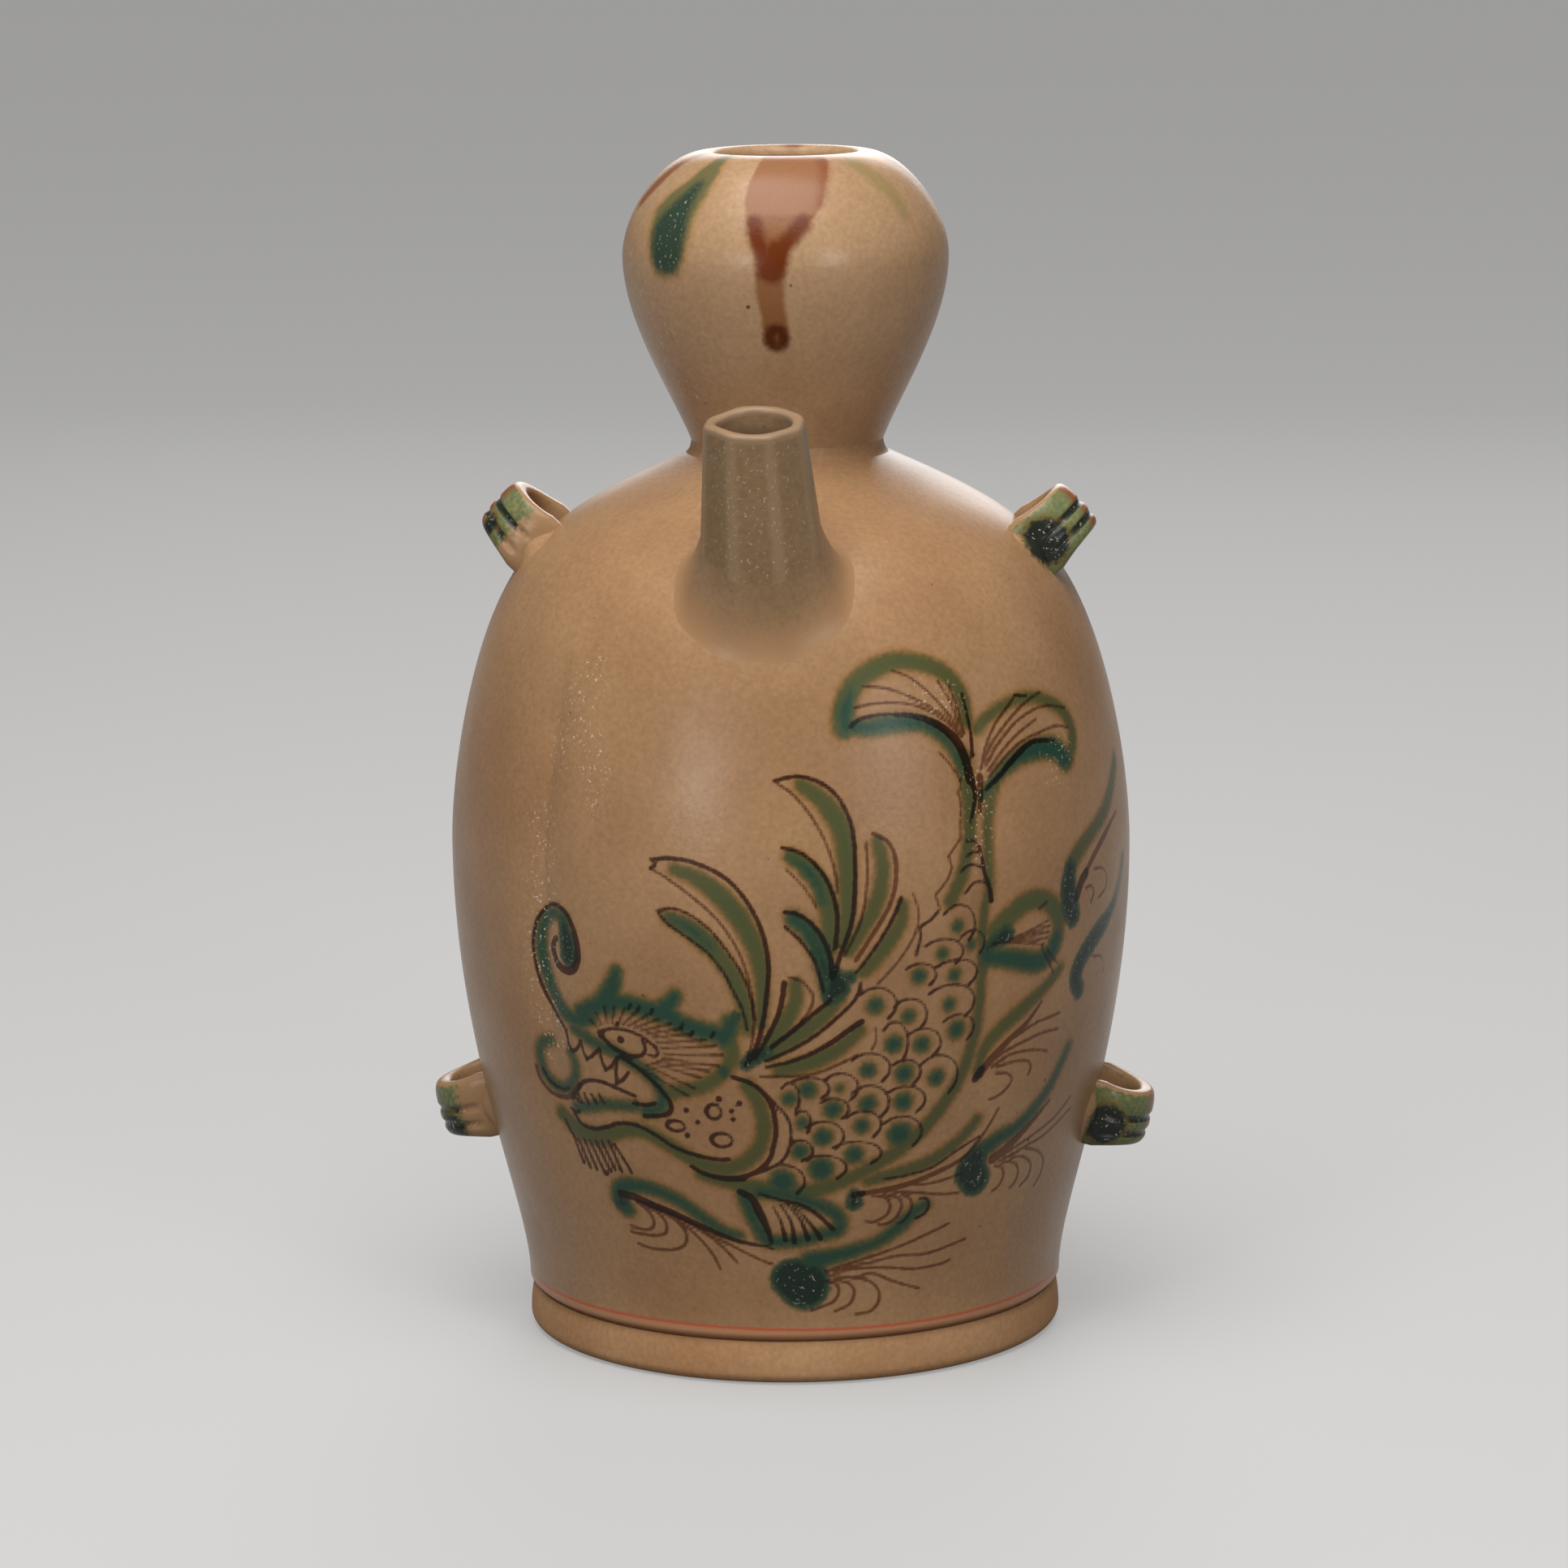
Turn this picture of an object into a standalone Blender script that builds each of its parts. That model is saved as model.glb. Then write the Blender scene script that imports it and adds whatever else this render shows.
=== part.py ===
"""Glazed stoneware ewer, as a potter puts it together.

A four-lobed body stands on a turned foot ring. It carries a bulb-shaped head, a pared octagonal
spout and four strap lugs, and luting clay closes each joint.

Units are metres and +Z is up. The origin is the centre of the standing face. The spout points to -Y,
and the lugs stand on the -X side (left) and on the +X side (right).
"""

import math

import bmesh
import bpy
import numpy as np
from mathutils import Matrix, Vector

MM = 0.001

# Joints
LUTE_GAP = 0.3 * MM  # between two pieces that are luted together

# Foot ring and the seat that it shares with the body
SEAT_RADIUS = 47.9 * MM  # outer edge of the joint, at the bottom of the turned groove
FOOT_HEIGHT = 7.8 * MM
FOOT_ROLL = 2.1 * MM  # how far the roll stands out from the seat
FOOT_ROLL_RISE = 2.2 * MM  # height of the roll's widest line
FOOT_WALL = 8.0 * MM  # from the seat's edge in to the bore
FOOT_CHAMFER = 0.8 * MM  # at the inner edge of the standing face
FOOT_LUTE = 2.0 * MM

# Body, with heights measured from its base
BODY_HEIGHT = 157.2 * MM
BELLY_HEIGHT = 83.7 * MM
BELLY_RADIUS = 63.3 * MM
BODY_WALL = 4.5 * MM
BODY_FLOOR = 6.0 * MM
GROOVE_HEIGHT = 0.3 * MM  # upright part of the turned groove above the foot
SKIRT_HEIGHT = 0.9 * MM  # bevel above that groove
SKIRT_DEPTH = 2.2 * MM  # how far the bevel stands out from the seat
LOWER_WALL_SHAPE = ((0.0, 0.154), (0.776, 0.434), (1.0, 0.75))  # shares of radius and height
SHOULDER_SHAPE = ((0.0, 0.312), (0.215, 0.78), (0.29, 0.794))

# Lobes, parted by four shallow grooves pressed into the wall
LOBE_ANGLE = math.radians(40)  # of a groove from the spout, and from the back
LOBE_GROOVE_DEPTH = 1.3 * MM
LOBE_GROOVE_HALF_ANGLE = math.radians(10)
LOBE_GROOVE_DROP = 32 * MM  # its upper end, below the neck joint
LOBE_GROOVE_RISE = 25 * MM  # its lower end, above the body's base
LOBE_UPPER_FADE = 12 * MM  # over which it sinks to its full depth
LOBE_LOWER_FADE = 45 * MM

# Head, with heights measured from the neck joint
NECK_RADIUS = 17.2 * MM
NECK_WALL = 4.5 * MM
NECK_LUTE = 1.4 * MM
HEAD_HEIGHT = 54.4 * MM
BULB_HEIGHT = 35.3 * MM
BULB_RADIUS = 30.0 * MM
HEAD_WALL = 3.4 * MM
MOUTH_RADIUS = 12.8 * MM
BULB_SHAPE = ((0.247, 0.243), (0.717, 0.492), (1.0, 0.771))
LIP_SHAPE = ((0.0, 0.41), (0.5, 1.0))

# Spout
SPOUT_SIDES = 8
SPOUT_DROP = 18.4 * MM  # centre of its root on the wall, below the neck joint
SPOUT_LEAN = math.radians(10.8)  # from upright, away from the neck
SPOUT_LENGTH = 30.2 * MM
SPOUT_TIP_WIDTH = 17.5 * MM  # across flats
SPOUT_ROOT_WIDTH = 22.9 * MM
SPOUT_TIP_WALL = 2.3 * MM
SPOUT_LUTE_SPREAD = 3.0 * MM
SPOUT_LUTE_RISE = 4.0 * MM

# Lugs, straps bent over a cord hole that runs up and down the wall
UPPER_LUG_DROP = 17.2 * MM  # centre on the wall, below the neck joint
LOWER_LUG_RISE = 32.3 * MM  # centre on the wall, above the body's base
LUG_SPAN = 19.0 * MM
LUG_REACH = 10.5 * MM
LUG_WIDTH = 9.2 * MM
LUG_THICKNESS = 3.3 * MM
LUG_LEG = 1.0 * MM  # straight start of the bend
LUG_RIBS = 3
LUG_RIB_DEPTH = 0.6 * MM
LUG_LUTE_SPREAD = 3.2 * MM
LUG_LUTE_RISE = 2.0 * MM

# Mesh counts and stations
BODY_SEGMENTS = 72
HEAD_SEGMENTS = 40
FOOT_SEGMENTS = 60
LUG_STATIONS = 11
LUG_PAD_STATIONS = (-1.1, -0.7, 0.0, 0.7, 1.1)  # shares of half the strap's width
MERGE_DISTANCE = 0.01 * MM  # joins the first and last outline of a spin

# Places that follow from the sizes
BASE_Z = FOOT_HEIGHT + LUTE_GAP
BELLY_Z = BASE_Z + BELLY_HEIGHT
NECK_Z = BASE_Z + BODY_HEIGHT
HEAD_Z = NECK_Z + LUTE_GAP
SKIRT_Z = BASE_Z + GROOVE_HEIGHT + SKIRT_HEIGHT
SKIRT_RADIUS = SEAT_RADIUS + SKIRT_DEPTH
THROAT_RADIUS = NECK_RADIUS - NECK_WALL
FOOT_BORE_RADIUS = SEAT_RADIUS - FOOT_WALL
SPOUT_BORE_RADIUS = SPOUT_TIP_WIDTH / 2 - SPOUT_TIP_WALL


def clear_scene():
    for thing in list(bpy.data.objects):
        bpy.data.objects.remove(thing, do_unlink=True)


def clay(name, colour, roughness):
    """A fired surface: its sRGB colour as a hex string, and its roughness."""
    channels = [int(colour[i : i + 2], 16) / 255 for i in (0, 2, 4)]
    linear = [c / 12.92 if c <= 0.04045 else ((c + 0.055) / 1.055) ** 2.4 for c in channels]
    material = bpy.data.materials.new(name)
    material.use_nodes = True
    shader = material.node_tree.nodes["Principled BSDF"]
    shader.inputs["Base Color"].default_value = (*linear, 1.0)
    shader.inputs["Roughness"].default_value = roughness
    shader.inputs["Metallic"].default_value = 0.0
    material.diffuse_color = (*linear, 1.0)
    return material


def finish(name, bm, material):
    """Turns a closed bmesh into a named object with outward faces and smooth shading."""
    bmesh.ops.recalc_face_normals(bm, faces=bm.faces)
    mesh = bpy.data.meshes.new(name)
    bm.to_mesh(mesh)
    bm.free()
    mesh.shade_smooth()
    mesh.set_sharp_from_angle(angle=math.radians(35))
    mesh.materials.append(material)
    return place(name, mesh)


def place(name, mesh, parent=None):
    thing = bpy.data.objects.new(name, mesh)
    thing.parent = parent
    bpy.context.scene.collection.objects.link(thing)
    return thing


def bezier(start, shape, end, steps):
    """Points (radius, z) on a Bezier curve whose inner handles are shares of its radial and
    vertical spans."""
    start = np.array(start)
    span = np.array(end) - start
    handles = [start, *(start + span * np.array(share) for share in shape), start + span]
    degree = len(handles) - 1
    t = np.linspace(0.0, 1.0, steps + 1)[:, None]
    return sum(
        math.comb(degree, i) * t**i * (1 - t) ** (degree - i) * handle
        for i, handle in enumerate(handles)
    )


def arc(centre, radii, start, end, steps):
    """Points (radius, z) on an elliptical arc, with its angles in degrees."""
    angle = np.radians(np.linspace(start, end, steps + 1))
    return np.stack([centre[0] + radii[0] * np.cos(angle), centre[1] + radii[1] * np.sin(angle)], 1)


def outward(outline):
    """Unit normals of an outline that climbs with its solid on the axis side."""
    along = np.gradient(outline, axis=0)
    normal = np.stack([along[:, 1], -along[:, 0]], 1)
    return normal / np.linalg.norm(normal, axis=1, keepdims=True)


def body_outline(steps):
    """Outside of the body above its skirt, bottom to top."""
    belly = (BELLY_RADIUS, BELLY_Z)
    lower = bezier((SKIRT_RADIUS, SKIRT_Z), LOWER_WALL_SHAPE, belly, steps)
    upper = bezier(belly, SHOULDER_SHAPE, (NECK_RADIUS, NECK_Z), steps)
    return np.vstack([lower, upper[1:]])


def head_outline(steps):
    """Outside of the head, from the neck joint up to the top of the lip."""
    bulb = (BULB_RADIUS, HEAD_Z + BULB_HEIGHT)
    lip = (MOUTH_RADIUS + HEAD_WALL / 2, HEAD_Z + HEAD_HEIGHT)
    lower = bezier((NECK_RADIUS, HEAD_Z), BULB_SHAPE, bulb, steps)
    upper = bezier(bulb, LIP_SHAPE, lip, steps)
    return np.vstack([lower, upper[1:]])


FINE_WALL = body_outline(200)
FINE_HEAD = head_outline(200)


def groove_depth(angle, z):
    """Depth of the lobe grooves at an angle from the spout and a height."""
    away = abs(abs(abs(angle) - math.pi / 2) - (math.pi / 2 - LOBE_ANGLE))
    across = max(0.0, 1 - away / LOBE_GROOVE_HALF_ANGLE)
    from_top = (NECK_Z - LOBE_GROOVE_DROP - z) / LOBE_UPPER_FADE
    from_foot = (z - BASE_Z - LOBE_GROOVE_RISE) / LOBE_LOWER_FADE
    return LOBE_GROOVE_DEPTH * across * min(max(min(from_top, from_foot), 0.0), 1.0)


def wall_radius(z):
    return float(np.interp(z, FINE_WALL[:, 1], FINE_WALL[:, 0]))


def wall_point(z):
    """A point of the wall's meridian and the wall's normal there, as (radius, z) pairs."""
    normal = outward(FINE_WALL)
    components = [np.interp(z, FINE_WALL[:, 1], normal[:, i]) for i in (0, 1)]
    return np.array([wall_radius(z), z]), np.array(components)


def seat(start, direction, gap):
    """Slides a point along a direction until it lies a gap outside the body's wall."""

    def clearance(distance):
        spot = start + direction * distance
        away = math.hypot(spot.x, spot.y) - wall_radius(spot.z)
        slope = (wall_radius(spot.z - MM) - wall_radius(spot.z + MM)) / (2 * MM)
        return away / math.hypot(1.0, slope) - gap

    near, far = -BELLY_RADIUS / 3, BELLY_RADIUS / 3
    for _ in range(40):
        middle = (near + far) / 2
        if clearance(middle) > 0:
            near = middle
        else:
            far = middle
    return start + direction * far


def turned(outline, segments, closed):
    """Spins an outline of (radius, z) points round the Z axis. A closed outline gives a ring, and an
    open one starts and ends on the axis."""
    bm = bmesh.new()
    points = [bm.verts.new((radius, 0.0, z)) for radius, z in outline]
    pairs = list(zip(points, points[1:]))
    if closed:
        pairs.append((points[-1], points[0]))
    edges = [bm.edges.new(pair) for pair in pairs]
    bmesh.ops.spin(
        bm, geom=points + edges, cent=(0, 0, 0), axis=(0, 0, 1), angle=2 * math.pi, steps=segments
    )
    bmesh.ops.remove_doubles(bm, verts=bm.verts, dist=MERGE_DISTANCE)
    return bm


def skin(rings, closed=False, caps=None):
    """Joins rings of equal count with quads. A closed skin joins the last ring to the first, and caps
    are the middle points that close both ends otherwise."""
    bm = bmesh.new()
    loops = [[bm.verts.new(point) for point in ring] for ring in rings]
    pairs = list(zip(loops, loops[1:]))
    if closed:
        pairs.append((loops[-1], loops[0]))
    for low, high in pairs:
        for i in range(len(low)):
            bm.faces.new((low[i - 1], low[i], high[i], high[i - 1]))
    for middle, loop in zip(caps or (), (loops[0], loops[-1])):
        centre = bm.verts.new(middle)
        for i in range(len(loop)):
            bm.faces.new((loop[i - 1], loop[i], centre))
    return bm


def make_foot_ring(material):
    """A ring with a rounded roll outside and a flat standing face."""
    centre = (SEAT_RADIUS, FOOT_ROLL_RISE)
    upper = arc(centre, (FOOT_ROLL, FOOT_HEIGHT - FOOT_ROLL_RISE), 90, 0, 4)
    lower = arc(centre, (FOOT_ROLL, FOOT_ROLL_RISE), 0, -90, 5)
    inner = [
        (FOOT_BORE_RADIUS + FOOT_CHAMFER, 0.0),
        (FOOT_BORE_RADIUS, FOOT_CHAMFER),
        (FOOT_BORE_RADIUS, FOOT_HEIGHT),
    ]
    return finish("foot_ring", turned([*upper, *lower[1:], *inner], FOOT_SEGMENTS, True), material)


def make_foot_luting_seam(material):
    """A clay fillet in the corner between the foot ring's bore and the body's base."""
    corner = (FOOT_BORE_RADIUS - LUTE_GAP, BASE_Z - LUTE_GAP)
    section = [corner, (corner[0], corner[1] - FOOT_LUTE), (corner[0] - FOOT_LUTE, corner[1])]
    return finish("foot_luting_seam", turned(section, FOOT_SEGMENTS, True), material)


def body_inside(steps):
    """Inside of the body, from the throat's lower edge down to the floor's rim."""
    wall = body_outline(steps)
    inside = wall - outward(wall) * BODY_WALL
    floor_z = BASE_Z + BODY_FLOOR
    kept = inside[(inside[:, 0] > THROAT_RADIUS + BODY_WALL / 4) & (inside[:, 1] > floor_z + BODY_WALL)]
    shoulder = inside[inside[:, 1] > BELLY_Z]
    edge_z = np.interp(THROAT_RADIUS, shoulder[::-1, 0], shoulder[::-1, 1])
    floor_radius = np.interp(floor_z, inside[:, 1], inside[:, 0])
    return [(THROAT_RADIUS, edge_z), *kept[::-1], (floor_radius, floor_z)]


def make_pour_hole():
    """A round cutter along the spout's axis, long enough to pass through the wall."""
    root, axis = spout_axis()
    ends = [root - axis * SPOUT_LENGTH, root + axis * SPOUT_LENGTH]
    bm = skin([spout_circle(end) for end in ends], caps=ends)
    bmesh.ops.recalc_face_normals(bm, faces=bm.faces)
    mesh = bpy.data.meshes.new("pour_hole")
    bm.to_mesh(mesh)
    bm.free()
    hole = place("pour_hole", mesh)
    hole.hide_render = True
    hole.display_type = "WIRE"
    return hole


def make_body_shell(material):
    """A thrown jar with a floor, a throat at the top, four pressed grooves and a pour hole."""
    outside = [
        (0.0, BASE_Z),
        (SEAT_RADIUS, BASE_Z),
        (SEAT_RADIUS, BASE_Z + GROOVE_HEIGHT),
        *body_outline(10),
        (THROAT_RADIUS, NECK_Z),
    ]
    bm = turned([*outside, *body_inside(6), (0.0, BASE_Z + BODY_FLOOR)], BODY_SEGMENTS, False)
    for vertex in bm.verts:
        spot = vertex.co
        depth = groove_depth(math.atan2(spot.x, -spot.y), spot.z)
        spot.xy *= 1 - depth / max(spot.xy.length, THROAT_RADIUS)
    body = finish("body_shell", bm, material)

    cut = body.modifiers.new("pour hole", "BOOLEAN")
    cut.operation = "DIFFERENCE"
    cut.solver = "EXACT"
    cut.object = make_pour_hole()
    return body


def make_neck_luting_seam(material):
    """A clay fillet in the crease between the shoulder and the head."""
    low_r = NECK_RADIUS + NECK_LUTE
    low_z = np.interp(-low_r, -FINE_WALL[:, 0], FINE_WALL[:, 1])
    high_z = HEAD_Z + NECK_LUTE
    high_r = np.interp(high_z, FINE_HEAD[:, 1], FINE_HEAD[:, 0])
    section = [
        (NECK_RADIUS + 2 * LUTE_GAP, (NECK_Z + HEAD_Z) / 2),
        (low_r + LUTE_GAP, low_z + LUTE_GAP),
        (high_r + 1.5 * LUTE_GAP, high_z),
    ]
    return finish("neck_luting_seam", turned(section, HEAD_SEGMENTS, True), material)


def make_garlic_head(material):
    """A bulb with its wall thinning from the neck to a rounded lip that curls in to the mouth."""
    outside = head_outline(6)
    walls = np.linspace(NECK_WALL, HEAD_WALL, len(outside))[:, None]
    inside = outside - outward(outside) * walls
    lip = outside[-1]
    rim = arc((lip[0], lip[1] - HEAD_WALL / 2), (HEAD_WALL / 2, HEAD_WALL / 2), 90, 270, 5)
    outline = [*outside, *rim[1:-1], *inside[:0:-1], (THROAT_RADIUS, HEAD_Z)]
    return finish("garlic_head", turned(outline, HEAD_SEGMENTS, True), material)


def spout_axis():
    """The middle of the spout's root on the wall, and its direction."""
    (radius, z), _ = wall_point(NECK_Z - SPOUT_DROP)
    return Vector((0, -radius, z)), Vector((0, -math.sin(SPOUT_LEAN), math.cos(SPOUT_LEAN)))


def spout_circle(centre):
    """The bore's points round a centre, in step with the outside's corners and flats."""
    _, axis = spout_axis()
    across = Vector((1, 0, 0))
    up = axis.cross(across)
    turns = np.arange(2 * SPOUT_SIDES) * math.pi / SPOUT_SIDES
    return [
        centre + (across * math.cos(turn) + up * math.sin(turn)) * SPOUT_BORE_RADIUS
        for turn in turns
    ]


def spout_outside(grow):
    """Points round the spout's tip and round its root, on the corners and flats by turns. The tip is
    a regular polygon square to the axis, and the root is one dropped onto the wall."""
    root, axis = spout_axis()
    _, (normal_r, normal_z) = wall_point(root.z)
    normal = Vector((0, -normal_r, normal_z))
    across = Vector((1, 0, 0))
    tip_up = axis.cross(across)
    root_up = normal.cross(across)
    half_side = math.pi / SPOUT_SIDES
    tips, roots = [], []
    for i in range(2 * SPOUT_SIDES):
        turn = i * half_side
        stretch = 1.0 if i % 2 == 0 else 1 / math.cos(half_side)
        side, rise = math.cos(turn) * stretch, math.sin(turn) * stretch
        tip = (across * side + tip_up * rise) * (SPOUT_TIP_WIDTH / 2 + grow)
        spread = (across * side + root_up * rise) * (SPOUT_ROOT_WIDTH / 2 + grow)
        tips.append(root + axis * SPOUT_LENGTH + tip)
        roots.append(seat(root + spread, -normal, LUTE_GAP))
    return tips, roots


def make_spout(material):
    """A tube with pared flats outside and a round bore, its foot cut to the wall."""
    root, axis = spout_axis()
    tips, roots = spout_outside(0.0)
    halfway = [(tip + foot) / 2 for tip, foot in zip(tips, roots)]
    bore_tip = spout_circle(root + axis * SPOUT_LENGTH)
    bore_root = [seat(point, -axis, LUTE_GAP) for point in spout_circle(root)]
    rings = [roots, halfway, tips, bore_tip, bore_root]
    return finish("spout", skin(rings, closed=True), material)


def make_spout_luting_coil(material):
    """A clay fillet round the spout's root, with one face on the wall and one on the spout."""
    clear = 1.5 * LUTE_GAP  # along the wall, which the spout meets at a slant
    tips, corners = spout_outside(clear)
    _, spread = spout_outside(clear + SPOUT_LUTE_SPREAD)
    rise = [
        corner + (tip - corner).normalized() * SPOUT_LUTE_RISE for tip, corner in zip(tips, corners)
    ]
    return finish("spout_luting_coil", skin([corners, spread, rise], closed=True), material)


def lug_frame(z):
    """A frame on the right side of the wall: X round the body, Y up the meridian, Z out."""
    (radius, z), (normal_r, normal_z) = wall_point(z)
    out = Vector((normal_r, 0, normal_z))
    round_body = Vector((0, 1, 0))
    frame = Matrix((round_body, out.cross(round_body), out)).transposed().to_4x4()
    frame.translation = (radius, 0, z)
    return frame


def seat_in_frame(frame, point, gap):
    """Drops a point of a lug's frame onto the wall, straight down the frame's Z axis."""
    world = seat(frame @ Vector(point), -frame.col[2].xyz, gap)
    return frame.inverted() @ world


def lug_section():
    """The strap's cross-section, as (place across its width, height from its middle): ribs and
    hollows by turns on the outside, and a flat inside."""
    count = 2 * LUG_RIBS + 1
    half = LUG_WIDTH / 2
    outer = [
        (half - LUG_WIDTH * i / (count - 1), LUG_THICKNESS / 2 - LUG_RIB_DEPTH * (1 - i % 2))
        for i in range(count)
    ]
    inner = [(side * half, -LUG_THICKNESS / 2) for side in (-1, 0, 1)]
    return outer + inner


def lug_mesh(name, frame, material):
    """A strap bent in half an ellipse on two short legs that end on the wall."""
    half_span = (LUG_SPAN - LUG_THICKNESS) / 2
    height = LUG_REACH - LUG_THICKNESS / 2 - LUG_LEG
    section = lug_section()
    rings = []
    for turn in np.linspace(0, math.pi, LUG_STATIONS):
        middle = Vector((half_span * math.cos(turn), 0, LUG_LEG + height * math.sin(turn)))
        out = Vector((height * math.cos(turn), 0, half_span * math.sin(turn))).normalized()
        rings.append([middle + Vector((0, across, 0)) + out * up for across, up in section])
    ends, caps = [], []
    for ring, side in ((rings[0], 1), (rings[-1], -1)):
        ends.append([seat_in_frame(frame, point, LUTE_GAP) for point in ring])
        caps.append(seat_in_frame(frame, (side * half_span, 0, LUG_LEG), LUTE_GAP))
    lug = finish(name, skin([ends[0], *rings, ends[1]], caps=caps), material)
    lug.matrix_local = frame
    return lug


def lug_pad_mesh(name, frame, side, material):
    """A wedge of clay thumbed against the outside of one leg, tapering to both ends."""
    rings, caps = [], []
    start = LUG_SPAN / 2 + LUTE_GAP
    for share in LUG_PAD_STATIONS:
        taper = 1.0 if abs(share) < 1 else 0.5
        across = share * LUG_WIDTH / 2
        corner = seat_in_frame(frame, (side * start, across, 0), LUTE_GAP)
        edge_x = side * (start + LUG_LUTE_SPREAD * taper)
        edge = seat_in_frame(frame, (edge_x, across, 0), LUTE_GAP)
        top = corner + Vector((0, 0, LUG_LUTE_RISE * taper))
        rings.append([corner, edge, top])
        caps.append((corner + edge + top) / 3)
    pad = finish(name, skin(rings, caps=[caps[0], caps[-1]]), material)
    pad.matrix_local = frame
    return pad


def make_lugs(glaze, luting):
    """Two pairs of lugs with a luting pad at each leg. The left ones are the right ones turned half
    round the ewer's axis, so the front leg of one is the rear leg of the other."""
    left_side = bpy.data.objects.new("left_side", None)
    left_side.rotation_euler.z = math.pi
    bpy.context.scene.collection.objects.link(left_side)
    for level, z in (("upper", NECK_Z - UPPER_LUG_DROP), ("lower", BASE_Z + LOWER_LUG_RISE)):
        frame = lug_frame(z)
        pieces = {"lug": lug_mesh(f"lug_{level}_right", frame, glaze)}
        for leg, side in (("rear", 1), ("front", -1)):
            pieces[leg] = lug_pad_mesh(f"lug_pad_{level}_right_{leg}", frame, side, luting)
        left_names = {
            "lug": f"lug_{level}_left",
            "rear": f"lug_pad_{level}_left_front",
            "front": f"lug_pad_{level}_left_rear",
        }
        for key, name in left_names.items():
            twin = place(name, pieces[key].data, left_side)
            twin.matrix_local = frame


def main():
    clear_scene()
    buff_glaze = clay("buff_glazed_stoneware", "A88862", 0.42)
    head_glaze = clay("buff_glazed_stoneware_head", "AA8A62", 0.4)
    spout_glaze = clay("grey_brown_glazed_stoneware", "8B7558", 0.5)
    lug_glaze = clay("green_splashed_glaze", "5C6B48", 0.38)
    bare_clay = clay("bare_fired_clay", "C9A67E", 0.85)
    luting_clay = clay("luting_clay", "B08F66", 0.6)

    make_foot_ring(bare_clay)
    make_foot_luting_seam(luting_clay)
    make_body_shell(buff_glaze)
    make_neck_luting_seam(luting_clay)
    make_garlic_head(head_glaze)
    make_spout(spout_glaze)
    make_spout_luting_coil(luting_clay)
    make_lugs(lug_glaze, luting_clay)


main()
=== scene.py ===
"""Glazed stoneware ewer: the surfaces that the eye sees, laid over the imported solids.

Shapes are worked out in millimetres and put into the meshes in metres. The axis of the ewer is Z, the
spout points to -Y, and an angle round the body is counted from the spout towards +X.
"""

import math

import bpy
import numpy as np
from mathutils import Matrix, Vector


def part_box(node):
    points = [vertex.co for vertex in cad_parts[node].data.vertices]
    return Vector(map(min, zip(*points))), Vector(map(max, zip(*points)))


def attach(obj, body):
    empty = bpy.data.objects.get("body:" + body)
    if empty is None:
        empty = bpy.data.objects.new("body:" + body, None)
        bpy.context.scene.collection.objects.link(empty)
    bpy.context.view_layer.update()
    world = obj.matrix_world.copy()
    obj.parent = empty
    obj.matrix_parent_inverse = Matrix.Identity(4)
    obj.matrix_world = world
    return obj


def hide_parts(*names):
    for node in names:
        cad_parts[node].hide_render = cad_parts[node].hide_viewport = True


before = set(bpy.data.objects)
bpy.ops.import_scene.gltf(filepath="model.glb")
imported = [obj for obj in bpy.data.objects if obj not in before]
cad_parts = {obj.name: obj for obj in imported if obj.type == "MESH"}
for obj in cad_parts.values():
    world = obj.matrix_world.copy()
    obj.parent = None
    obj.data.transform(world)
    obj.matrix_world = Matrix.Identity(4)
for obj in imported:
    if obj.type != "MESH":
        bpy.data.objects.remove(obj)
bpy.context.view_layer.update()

MM = 0.001


def corners(node):
    """A node's lowest and highest corners, in millimetres."""
    return [np.array(corner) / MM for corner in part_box(node)]


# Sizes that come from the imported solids
FOOT_RADIUS = corners("foot_ring")[1][0]
(_, _, BASE_Z), (BELLY_RADIUS, _, NECK_Z) = corners("body_shell")
(_, _, HEAD_Z), (BULB_RADIUS, _, TOP_Z) = corners("garlic_head")

# Camera, as it stood before the ewer
IMAGE_WIDTH = 1932  # pixels
FOCAL_LENGTH = 7045.6  # pixels
SENSOR_WIDTH = 36.0
CAMERA_DISTANCE = 1050.9
CAMERA_HEIGHT = 296.6
CAMERA_OFFSET = -1.2  # to the right of the axis
CAMERA_AZIMUTH = math.radians(5.5)
CAMERA_PITCH = math.radians(10.495)
CAMERA_ROLL = math.radians(-0.536)

# Foot ring
SEAT_RADIUS = 47.9
FOOT_BORE = 39.9
FOOT_ROLL_RISE = 2.2
FOOT_TOP_RADIUS = 49.2
STANDING_RADIUS = 46.9
STANDING_INNER_RADIUS = 40.7
FOOT_INNER_RISE = 0.8  # of the bevel from where it stands to its bore
FOOT_GAP = 0.05  # under the body
FOOT_UPPER_SHAPE = ((0.55, 0.2), (1.0, 0.65))  # handles, as shares of the spans of radius and height
FOOT_LOWER_SHAPE = ((0.0, 0.6), (0.35, 1.0))
FOOT_BLUSH_WAVE = 1.5
FOOT_BLUSH_SEED = 11

# Body
BELLY_Z = 91.8
SKIRT_RADIUS = 50.1
SKIRT_Z = 9.3
BODY_WALL = 4.5
BODY_FLOOR = 6.0
LOWER_WALL_SHAPE = ((0.0, 0.154), (0.776, 0.434), (1.0, 0.75))
SHOULDER_SHAPE = ((0.0, 0.312), (0.215, 0.78), (0.29, 0.794))
LOBE_ANGLE = math.radians(40)  # of a groove from the spout, and from the back
LOBE_DEPTH = 1.3
LOBE_HALF_ANGLE = math.radians(10)
LOBE_TOP = NECK_Z - 32
LOBE_BOTTOM = BASE_Z + 25
LOBE_UPPER_FADE = 12
LOBE_LOWER_FADE = 45
LOBE_SHARPNESS = 1.6
CREASE_LOW = (1.1, 0.1)  # out and up from the seat's edge
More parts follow.
